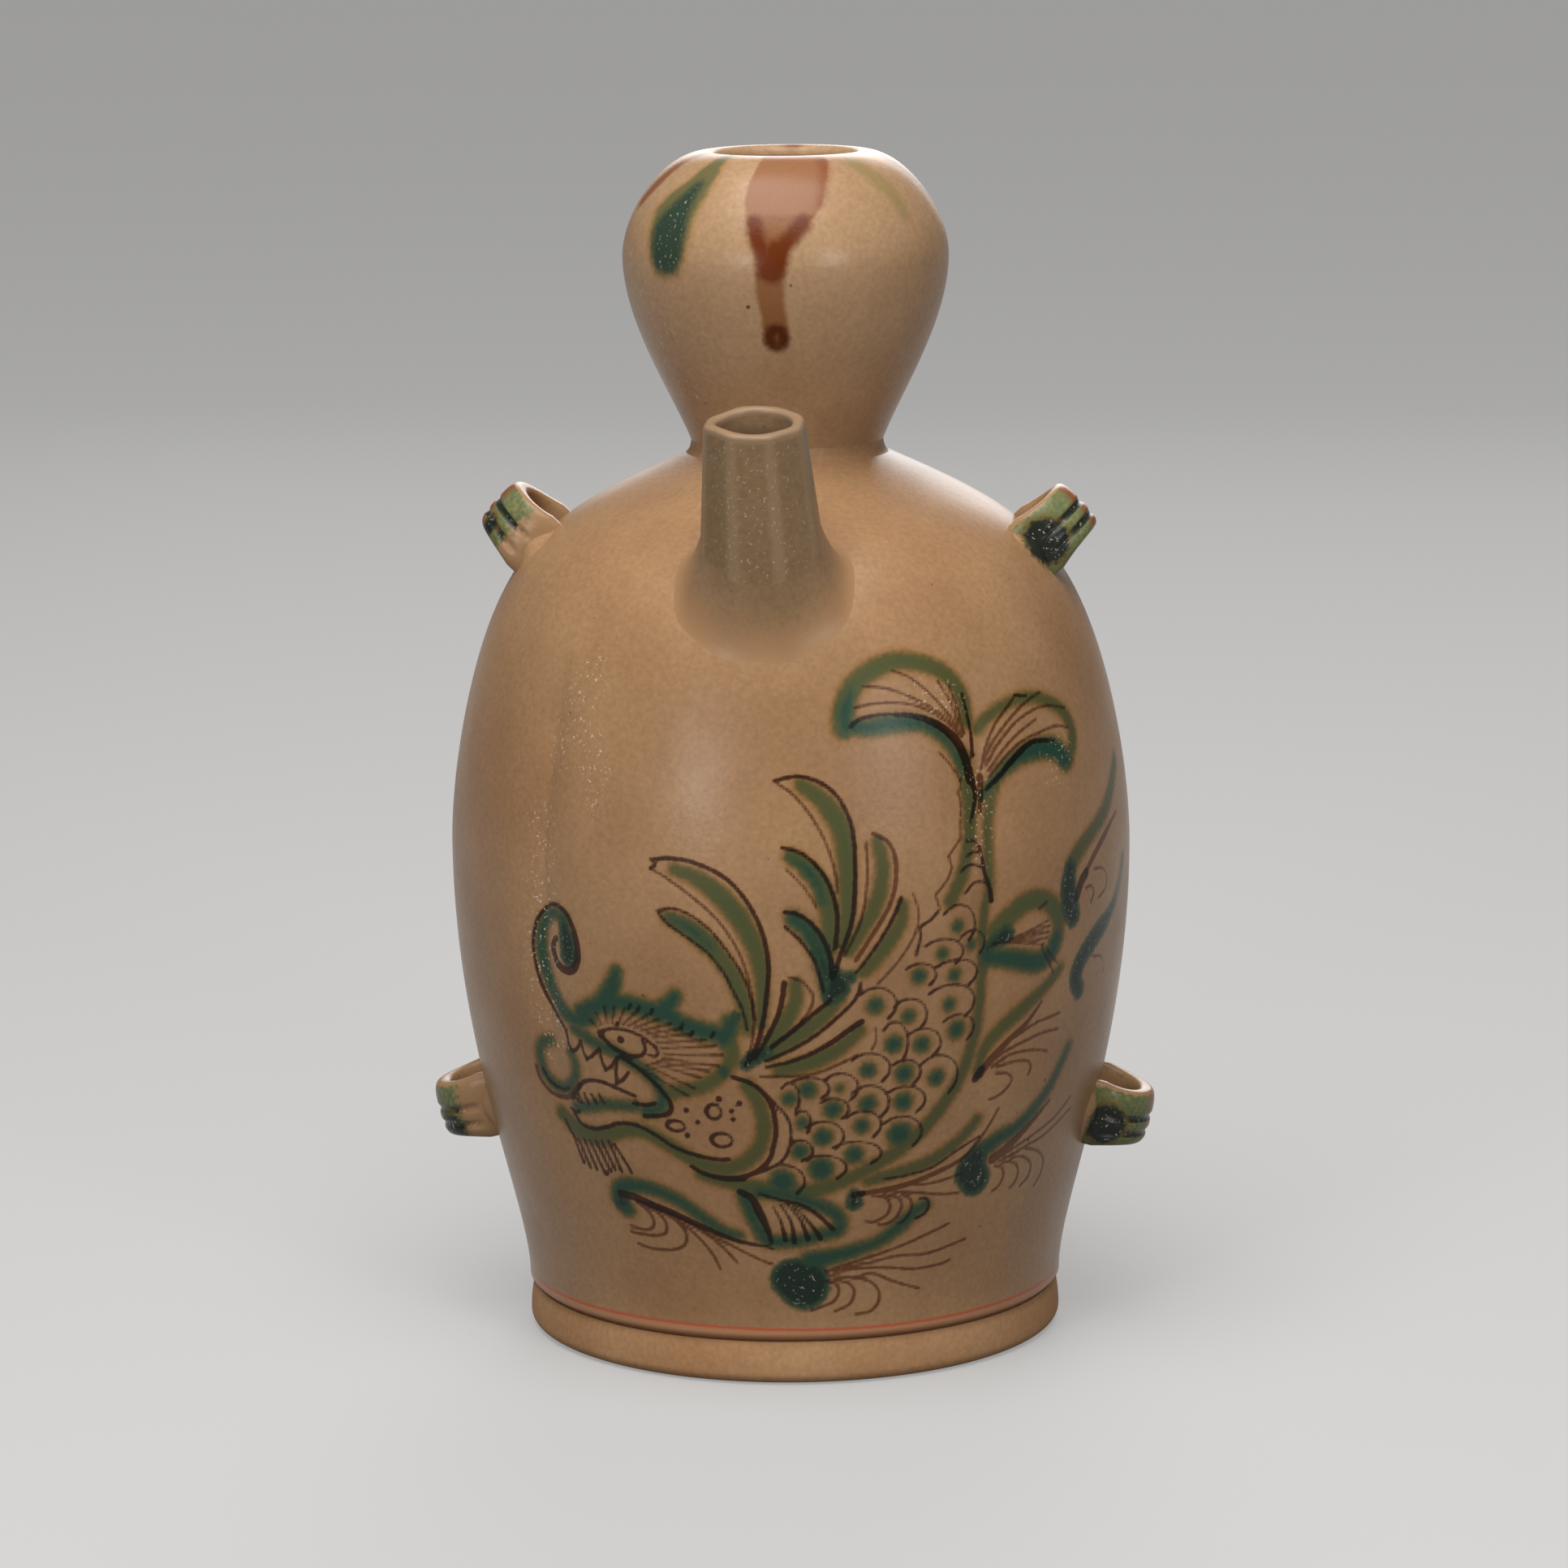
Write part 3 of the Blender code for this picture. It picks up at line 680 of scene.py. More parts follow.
# Strokes of the painting: the kind of brush load, its widths along the way, and the points it passes, round
# the body from the spout and up
TAIL = [
    ("wash", (3.2, 3, 2.6, 2.2), (15.2, 122.5), (15.5, 126), (17.5, 129.5), (21, 132), (26, 133.5),
     (31, 133), (35, 131.5), (38, 129), (39.5, 126), (40, 122)),
    ("teal", (2.6, 3, 2.2, 1.6), (17, 122.8), (20, 122.5), (25, 123), (30, 122.5), (33.5, 120.5),
     (36, 117.5), (37.5, 114)),
    ("teal", (2.6, 3, 1.6), (15.8, 122.6), (15.8, 125.5), (17, 128.5)),
    ("line", (0.8, 0.6, 1.2, 1.8, 2), (16.5, 122.8), (18.5, 124), (22, 124.6), (26, 124.4), (30, 123.6),
     (33.5, 122), (36, 120), (37.5, 118), (38.6, 115), (39, 112)),
    ("fine", (0.55,), (17.5, 126), (22, 126.6), (27, 126.3), (31, 125), (35, 122.5), (38, 119.5)),
    ("fine", (0.55,), (19.5, 129.6), (24, 129), (28.5, 127.3), (33, 124.8), (36.5, 121.8), (38.3, 119.5)),
    ("fine", (0.55,), (25.5, 132), (29, 130.5), (32, 128), (35, 124.8), (37.5, 121.5)),
    ("fine", (0.55,), (34.5, 129.5), (36, 127), (37.2, 124), (38.6, 120)),
    ("fine", (0.55,), (36.8, 128.5), (38.2, 124), (39, 120)),
    ("line", (0.6, 0.9), (39.5, 127), (40, 124), (40.5, 120), (40.2, 116)),
    ("wash", (1.8, 1.6, 1.8, 2.2, 2.2), (42.3, 120.5), (44, 122), (47.5, 123.7), (52, 124.7), (57, 124.4),
     (61, 123), (64.3, 121), (66, 118.4), (65.8, 115.5), (64, 112.8)),
    ("teal", (1.4, 2, 3, 3.8, 3.8), (41.5, 108.5), (44, 111), (48, 113.8), (52, 115.2), (56, 115.5),
     (60, 114.8), (62.3, 112.6)),
    ("line", (0.8, 1.2, 0.6), (42.5, 109.8), (45, 111.6), (48, 114), (51, 115.9), (54, 117), (57, 116.8),
     (60, 116.5)),
    ("fine", (0.55,), (42, 113.5), (43.5, 117.5), (46.5, 121.5), (51.5, 125.4)),
    ("fine", (0.55,), (42.5, 114.5), (45, 118), (49.5, 121.7), (54, 124), (58.5, 125.2)),
    ("fine", (0.55,), (43, 114), (46, 117.5), (50.5, 120.8), (55.5, 122.4), (60, 122.6), (65.5, 121.4)),
    ("fine", (0.55,), (43.2, 113), (47, 116.5), (51, 119), (56, 120.8)),
    ("fine", (0.55,), (43.5, 112), (47, 115), (51, 117.3), (56, 118.3), (61, 118.8), (65, 118)),
    ("line", (0.6,), (51.5, 125.5), (54.5, 125)),
]

STEM = [
    ("wash", (3, 2.4, 2.2), (38, 116), (38.4, 108), (38, 103), (37, 98.5), (35.5, 94.5), (33.5, 91)),
    ("line", (1.6, 1, 0.6), (39.2, 112.5), (39.9, 109.5), (39.3, 107), (38.3, 104.5)),
    ("fine", (1.6, 1), (41.4, 112), (41.2, 109), (40.6, 106)),
    ("fine", (0.5,), *cornered(
        (33, 117.3), (35, 115), (36.8, 112.5), (36.6, 110.5), (36, 110), (36.6, 108), (36, 104.5), (36, 102),
        (34.6, 100.6), (33.3, 99), (33.9, 97), (33, 95), (31.5, 93.3), (30.6, 92.5), (31, 91), (31.5, 89.8))),
    ("wash", (1.6,), (44, 110), (43, 107), (42.2, 103), (42, 98), (42, 93), (41.5, 90)),
    ("line", (0.7, 1), (40, 100), (40.6, 97), (41, 95), (42, 92.5), (42.4, 89.8)),
    ("line", (0.55,), (37, 101.3), (38.5, 101.2), (39.6, 100.2)),
    ("line", (0.55,), (37, 98.6), (38.5, 99.1), (40.3, 98.8)),
    ("line", (0.55,), (35.7, 96), (37.5, 97), (40, 96.3), (41, 95)),
    ("line", (0.55,), (36.5, 92), (38.5, 93.6), (41, 93.3), (42.4, 91.5)),
]

# Scales: the place of each dot, how far its arch reaches right and up, and the dot's radius
SCALES = [
    (35, 86.2, 3.7, 3.9, 1.0), (32, 81.5, 4.2, 2.7, 1.0), (38, 82.5, 3.1, 2.5, 0.9),
    (27.7, 77.8, 3.2, 2.3, 1.3), (34.5, 77.3, 5, 2.8, 1.1), (20, 73, 3.7, 3.3, 1.4),
    (26, 70.5, 3.4, 3.3, 1.1), (33.7, 72, 5.4, 3.6, 1.1), (23.5, 65.5, 2.6, 4.2, 1.5),
    (28.7, 65, 3.7, 3, 1.4), (35.5, 67, 3.8, 2.8, 1.6), (19, 61, 4, 3.1, 1.3),
    (25.7, 59.8, 3.1, 2.6, 1.6), (32, 58.4, 4.4, 4.2, 1.4), (8.3, 57.7, 3.8, 2.3, 1.5),
    (5, 56, 1.8, 3, 1.2), (12.8, 53.7, 2.9, 2.2, 1.5), (19.2, 54.5, 3.9, 3.5, 1.5),
    (25.8, 54.4, 4.3, 2.9, 1.6), (7.3, 51.3, 1.5, 2.4, 1), (11, 48.5, 3.9, 3, 1.6),
    (18.2, 50.3, 3.6, 2.9, 1.3), (25.5, 48.2, 4.4, 3.4, 2.2), (6.8, 45.8, 2.4, 2.2, 1.4),
    (17, 44.8, 5.2, 2.5, 1.6), (10.8, 42.3, 4.8, 2.6, 2.2), (3.5, 40, 4.2, 3.2, 2.2),
    (14, 57.8, 3.3, 2.8, 0.5),
]

BELLY = [
    ("wash", (1.6, 2.2, 2.2), (41, 89), (40.5, 84), (40.8, 79), (40.5, 74), (40.3, 70), (39.5, 65), (38, 60),
     (36, 56), (33.5, 52.5), (30.5, 49), (27, 46), (23, 43.5), (18, 41), (13, 39), (8, 38)),
    ("line", (0.6,), (31.2, 89.5), (29.8, 88), (27.8, 86.8), (27.9, 85), (27.1, 81.7)),
    ("line", (0.9,), (-5, 60), (-2, 59), (0.5, 57), (2, 54), (2.5, 50), (2, 47), (1, 44), (-2, 41.5),
     (-6, 40.3)),
    ("line", (0.6,), (0, 57.8), (2.5, 55), (4.5, 52.5), (5.2, 50), (5, 47), (3.5, 44), (0, 42), (-3, 41)),
    ("wash", (2.2, 2.6), (-2.5, 58.5), (-0.5, 55), (0.3, 51), (-0.5, 47), (-3, 44), (-7, 42.3), (-12, 43),
     (-17, 45.5), (-22, 48), (-26, 48.3), (-31, 46.8), (-36, 46.3), (-40, 47.5), (-42.5, 49)),
    ("line", (0.8,), (-39, 49.5), (-37.5, 47.8), (-34.5, 47.3), (-31, 48.2), (-28, 49.3), (-24.5, 49.3),
     (-21, 48), (-17, 45.8), (-13, 44.6), (-9, 44), (-6.5, 44.1)),
    *(("line", (size,), spot) for size, spot in (
        (1.1, (-14, 53.2)), (1.0, (-12, 51)), (1.2, (-7.7, 55.7)), (1.1, (-4, 55)), (1.0, (-5.5, 53.5)),
        (1.0, (-5.3, 51.9)), (1.1, (-14.2, 48.3)))),
    *(("line", (0.5, 0.9, 0.5), *ring(*spot)) for spot in (
        (-8.8, 53.2, 1.4, 1.4), (-16.3, 50, 1.8, 1), (-7.6, 47.8, 2, 1.3))),
    ("wash", (2.4,), (-12, 41), (-8, 40), (-3, 39), (2, 38.3), (8, 38), (13, 39)),
    ("line", (0.8, 1.2), (-14, 42.3), (-11.5, 41), (-8, 40.3), (-4, 40.4)),
]

SNOUT = [
    ("line", (1.2, 1.6, 1.2, 0.7, 0.7, 0.9, 0.8), (-39.2, 82.6), (-40.2, 81), (-39.8, 79.3), (-39, 77.8),
     (-37, 77), (-35, 77.5), (-33.8, 79.5), (-33.7, 82), (-34.5, 85), (-36, 87.5), (-38.5, 88.8),
     (-41, 88.3), (-43.3, 86.3), (-44.7, 83.5), (-45.2, 80), (-44.8, 76.5), (-43.8, 73.3), (-42, 70),
     (-40, 67.5), (-38.3, 65.6)),
    ("pool", (4, 3.6, 2), (-36, 80), (-36.3, 83), (-37, 85.5)),
    ("teal", (1.8, 2.4, 2.6, 3), (-36.5, 86.5), (-39.5, 87.3), (-42, 85.5), (-43.2, 82), (-43, 78),
     (-41.8, 74.5), (-40.3, 71.5), (-38, 69), (-35, 68), (-32, 69)),
    ("teal", (3.2,), (-34, 69.5), (-30, 71.5), (-25, 72.5), (-20, 71.8), (-16, 71), (-13.5, 69.5), (-9, 68.3),
     (-6, 68), (-5, 70)),
    ("wash", (2.3,), (-6, 68), (-5, 65), (-5.5, 62.5), (-7, 60.5), (-9.5, 58.5), (-13, 57.2), (-16, 56.5)),
    ("teal", (4.8, 3.4, 2.2), (-28, 72.4), (-26.7, 75.3), (-25.7, 78.2)),
    ("teal", (3.8, 3.2, 2.4), (-17.6, 71.4), (-15.8, 73.2), (-14.8, 74.6)),
    ("teal", (3.4, 2.6), (-6.4, 67.4), (-5.2, 69.4)),
    *(("pool", (1.2,), spot) for spot in ((-34, 69.8), (-26.5, 75.5), (-6.5, 61), (-4, 71.5))),
    *fan(
        19,
        ((-30.3, 67), (-29, 68.2), (-25, 68.4), (-22, 67.8), (-19.5, 66.6), (-18.2, 65), (-17.5, 63.6),
         (-18, 62.6), (-20, 61.8), (-21.5, 61), (-22, 60.5)),
        ((-32, 68.5), (-29, 71.2), (-25, 71.7), (-20, 70.8), (-15, 69.2), (-10, 67), (-7, 65), (-7, 62.5),
         (-10.5, 60), (-12, 57.5), (-13.5, 56))),
    *(("line", (0.7,), (a, z), (a + 0.5, z + 0.9)) for a, z in (
        (-23.7, 71.5), (-22, 71.3), (-19.5, 71), (-14, 68.7), (-12.3, 67.4), (-8.5, 67.4))),
]

EYE = [
    ("line", (0.65,), (-30.5, 66.3), (-28, 67.3), (-25, 67.5), (-22, 66.8), (-20, 65.6), (-18.8, 64.8)),
    ("line", (0.9, 1, 0.6), (-30, 66), (-28, 64.2), (-25.5, 62.9), (-23.5, 62.6), (-21.5, 63.2), (-21, 64.5),
     (-21.5, 66)),
    ("line", (1.5,), (-25.8, 65.5)),
    ("line", (1.0,), (-26.2, 68.5)),
    ("line", (0.6,), (-19.2, 64.9), (-18.5, 63.8), (-19.2, 63), (-20.2, 63.2)),
    ("line", (1.6,), (-29.8, 66)),
]

JAWS = [
    ("line", (0.7,), *cornered(
        (-38.3, 65.3), (-38, 63), (-37.3, 61.8), (-36, 62.3), (-34.8, 64), (-34.3, 62), (-33.8, 60.8),
        (-32.5, 61.5), (-30.6, 63.2), (-30.3, 61), (-29.7, 59.3), (-28.5, 60), (-27, 61.8), (-27.5, 59),
        (-27.6, 57), (-26.2, 57.8), (-24.8, 59.4))),
    ("teal", (2, 2.4), (-36, 66.3), (-32, 64.5), (-28, 63.3), (-25, 62), (-21.5, 60), (-19, 57.5),
     (-18.3, 55), (-19.5, 53), (-22, 52.3)),
    ("line", (0.9,), (-26, 62.3), (-23, 60.6), (-20.3, 58.5), (-18, 56), (-16.8, 54), (-17.5, 52.3),
     (-19.8, 51.6), (-22.5, 51.3)),
    ("line", (0.8,), (-24.5, 53.6), (-22, 53.5), (-20, 54)),
    ("line", (0.8,), (-39, 52.5), (-37.2, 54.3), (-35.5, 56.1), (-33.5, 56.8), (-31, 56.9), (-28.5, 56.3),
     (-26, 55.6), (-24, 55)),
    ("teal", (1.8,), (-38, 51), (-35, 51.5), (-31, 52.5), (-27, 52.8), (-24, 53)),
    *(("line", (0.7,), start, end) for start, end in (
        ((-38.5, 53.3), (-37.3, 52)), ((-37.2, 53.5), (-36.3, 52)), ((-35.6, 54), (-34.7, 52.2)),
        ((-33.7, 54), (-32.8, 52.5)), ((-32, 54.3), (-31, 52.8)))),
    ("line", (0.8,), (-39.8, 50.5), (-38.7, 49.9), (-37.5, 50.3)),
    ("teal", (1.4, 2, 1.6), (-37.8, 61.5), (-36.9, 59.5), (-37.3, 57), (-39, 55), (-41.5, 54), (-44, 54.8),
     (-45.8, 57), (-46.2, 60), (-45, 62.3), (-43, 62.8)),
    ("fine", (0.9,), (-47.8, 57.3), (-47.2, 55), (-45.2, 53), (-42.5, 52.2), (-40, 52.5), (-38.2, 54),
     (-36.3, 55.6)),
    ("line", (0.7,), (-46, 57), (-44.5, 54.8), (-41.5, 53.8), (-39.5, 54.3)),
    ("wash", (1.6,), (-42, 49), (-41.3, 47), (-38, 45.5), (-34, 45), (-31, 45.3)),
    ("line", (0.7,), (-42, 47.8), (-41, 45.8), (-39.8, 44.5)),
    *(("line", (0.6, 0.75), start, end) for start, end in (
        ((-40.5, 45), (-38.8, 40)), ((-39, 44.6), (-37.2, 39.3)), ((-37.5, 44.8), (-35.5, 39.2)),
        ((-36, 44.8), (-33.5, 38.6)), ((-34.5, 45), (-32, 39.3)), ((-33, 45.2), (-30.8, 39.8)),
        ((-31.3, 45.4), (-29.3, 39.7)), ((-30, 45), (-27, 39.8)))),
    ("line", (1.2,), (-33.2, 38.8)),
]

FINS = [
    ("line", (0.8, 0.9), (-18.5, 99.2), (-15.5, 99.7), (-11, 99.2), (-6, 97), (-2.5, 93.5), (0, 89),
     (1.3, 84.5), (1.7, 80), (1.3, 75), (0.5, 70), (-0.8, 65.5), (-2.5, 62.3)),
    ("line", (0.6,), (-18.7, 99.3), (-17.8, 98.3), (-18.7, 97.7)),
    ("fine", (0.6,), (-18.7, 97.7), (-16, 96.3), (-12.5, 94), (-8, 90.3), (-5, 86.5), (-2.8, 82), (-1.5, 77),
     (-0.9, 72), (-1.3, 67), (-2.3, 63.5)),
    ("wash", (1.6, 3, 3.4, 2.8, 2, 1.6), (-14.5, 97.8), (-11, 96.7), (-7, 94), (-3.5, 90), (-1, 85.5),
     (0.3, 80.5), (0.6, 75), (0.2, 70)),
    ("line", (0.6,), (-17.5, 90.2), (-14.5, 90.7), (-11.5, 89.7), (-8, 87), (-5, 83), (-2.7, 79), (-1.4, 75),
     (-0.9, 71)),
    ("line", (0.6,), (-17.3, 89.8), (-15.5, 87.8), (-12, 85.5), (-9, 83.3), (-6.3, 80), (-4.3, 76),
     (-2.8, 72.5), (-2.2, 69)),
    ("wash", (2, 3, 2.8, 2.4, 1.8), (-15.5, 89), (-12, 87.3), (-9, 85), (-6, 81.5), (-3.8, 77.5), (-2.5, 73),
     (-2, 69)),
    ("teal", (1.6, 2.2, 1.4), (-14.5, 88.8), (-11, 86.8), (-8, 84)),
    ("line", (0.7, 0.9), (2.8, 113.7), (5, 114.3), (8, 114.4), (11.5, 113), (14, 110.5), (15.7, 107),
     (16.4, 103), (16.5, 98), (16.3, 93), (15.7, 88), (14, 83), (12.8, 79)),
    ("fine", (0.6,), (3.5, 113.3), (6.5, 111), (9.5, 107), (11.7, 102.5), (13, 98), (13.5, 94)),
    ("wash", (2, 3.2, 3, 2.4, 2.2), (7.5, 113), (10, 111.3), (12.5, 108.5), (14.3, 105), (15, 100.5),
     (15.1, 95.5), (15, 90), (14.2, 85)),
    ("line", (0.7, 0.9), (4.2, 102.1), (7, 101.3), (9.5, 99.3), (11.5, 96.5), (12.8, 93), (13.4, 89),
     (13, 84)),
    ("fine", (0.55,), (4.8, 98.3), (7, 96), (8.8, 93.5), (9.8, 91.5)),
    ("wash", (1.8, 3, 2.6), (6, 100.5), (8.5, 98.5), (10.5, 95.7), (11.8, 92), (12.2, 88), (12, 84)),
    ("teal", (1.4, 2.2, 1.6), (5.5, 100.6), (8, 98.6), (10, 95.8), (11, 92.5)),
    ("line", (0.8, 1), (4.5, 90.6), (6.5, 90.3), (9, 88.5), (11, 85.5), (12.2, 82), (12.5, 78.5)),
    ("line", (0.7,), (4.6, 88), (7, 85.5), (9.2, 82.3), (10.3, 79), (11, 76)),
    ("teal", (2.6, 3.2, 2.8), (6, 89.5), (8.5, 87), (10.3, 83.5), (11.3, 80), (11.8, 77)),
    ("pool", (1.0, 1.6, 1.8), (9, 86), (10.6, 82.5), (11.8, 78)),
    ("fine", (0.6,), (18.4, 102.8), (18.6, 98), (18.2, 93), (17.3, 88.5), (15.8, 85), (14.5, 82.5)),
    ("fine", (0.8,), (19.7, 104.1), (22, 102.8), (23.3, 100.5), (23.6, 97), (23, 93), (21.5, 89.5),
     (19, 85.5), (16.5, 81.5)),
    ("wash", (1.8, 2.4, 2), (20.5, 102.5), (21.2, 99), (20.8, 94.5), (19.5, 90.5), (17.5, 87), (15.3, 83.5)),
    ("line", (0.8, 0.55), (24.4, 92.4), (23, 89), (21, 85.5), (18.7, 82), (16.6, 79.3)),
    ("wash", (1.6, 2.4, 2), (24.7, 91), (24.3, 88), (22.5, 85), (20.3, 82), (18, 79.5)),
    ("fine", (0.5,), (26.5, 93), (27.4, 90), (27.3, 87), (26, 84), (24, 81), (21.8, 78.5), (20.3, 77)),
    ("pool", (3, 4, 2.5), (12.5, 79), (13.5, 77), (12, 75)),
    ("pool", (2,), (15.5, 78.5)),
    ("line", (1, 0.8), (4.3, 77.8), (4, 75), (3.3, 72), (2, 69), (0.5, 66), (-1, 63.8)),
    ("fine", (0.6,), (5.3, 78.8), (7.3, 78), (9, 75.8), (9, 73.5), (7.5, 71), (5, 68.5), (2, 66)),
    ("wash", (1.8, 2.4, 2.2), (6.3, 77.5), (6.2, 74.5), (5, 71.5), (3.2, 68.5), (1, 65.5)),
    ("line", (0.8,), (12.2, 74.5), (11.5, 73.8), (8.5, 71.3), (5.5, 68.6), (2, 65.7)),
    ("wash", (2, 2.6, 2.4), (13.5, 74.5), (11.5, 72), (8.5, 69.3), (5, 66.8), (1.5, 64.5)),
    ("line", (0.7,), (17.3, 77.3), (17.2, 76), (16, 73.8), (13, 70.8), (9.5, 67.8), (5.5, 65.3), (1, 63.2)),
    ("line", (1.1, 0.6), (17.7, 70.2), (15.5, 68.8), (12.5, 66.6), (9, 64.6), (5, 63), (1, 62)),
    ("wash", (1.8, 2.6, 2.2), (17.3, 68.5), (15, 66.3), (11.5, 64), (7.5, 62.4), (3.5, 61.5)),
    ("fine", (0.5,), (20, 69), (20.3, 66.5), (19.5, 64.8)),
    ("fine", (0.6,), (17, 64), (13, 62), (9, 60.6), (4, 60.3), (0, 60.2)),
    ("pool", (2, 2.5, 1.5), (-2.5, 62.5), (-1, 63.8), (1, 64.8)),
]

SIDE_FIN = [
    ("wash", (3, 3.4, 3.2, 3.4), (43, 84), (46, 86.6), (50, 88.8), (54, 88.3), (56.5, 86.5), (58, 84)),
    ("teal", (3.2, 3.8, 3.2), (41.5, 79.5), (45, 79), (49, 78), (53, 77.2), (56, 78.5), (57.5, 81)),
    ("pool", (1.6, 2.8), (41.8, 81), (43.5, 82.3), (45.5, 83.3)),
    ("fine", (0.8, 0.5), (43, 81.8), (46, 82.3), (49, 82.3)),
    *(("fine", (0.6, 0.4), (45, 82), tip) for tip in (
        (55, 84.5), (55.5, 83.5), (55.3, 82.3), (54.8, 81.2), (54, 80.2))),
    ("fine", (0.6,), (52.5, 87), (54.5, 88)),
    ("fine", (0.6,), (55, 79), (58, 76)),
    ("fine", (0.6,), (53.5, 79.5), (57, 74.5)),
]

BELLY_FIN = [
    ("teal", (2.4,), (-4, 37), (-3, 34), (-1.5, 31), (0, 28.5), (3, 28), (7, 28.3), (11, 29.3), (14.3, 30),
     (14.5, 32.5), (12, 34.5), (8, 36), (4, 37.3), (-1, 37.8)),
    ("line", (1.2, 1.6, 0.8), (-4.8, 37.8), (-2.5, 36.5), (-1, 33.5), (0.3, 30.5), (1, 28)),
    ("line", (0.6, 0.9), (-1, 37.5), (3, 36.3), (7, 35.3), (10, 33.5), (13.5, 30.3)),
    *(("line", (0.4, 0.6, 1.0), *route) for route in (
        ((1.5, 35), (3, 32), (3.9, 28.3)), ((3, 35.3), (5, 32), (5.7, 28)),
        ((4.5, 35.3), (7, 32), (8.4, 28.5)), ((5.5, 35.3), (8.5, 32), (11, 28.5)))),
]

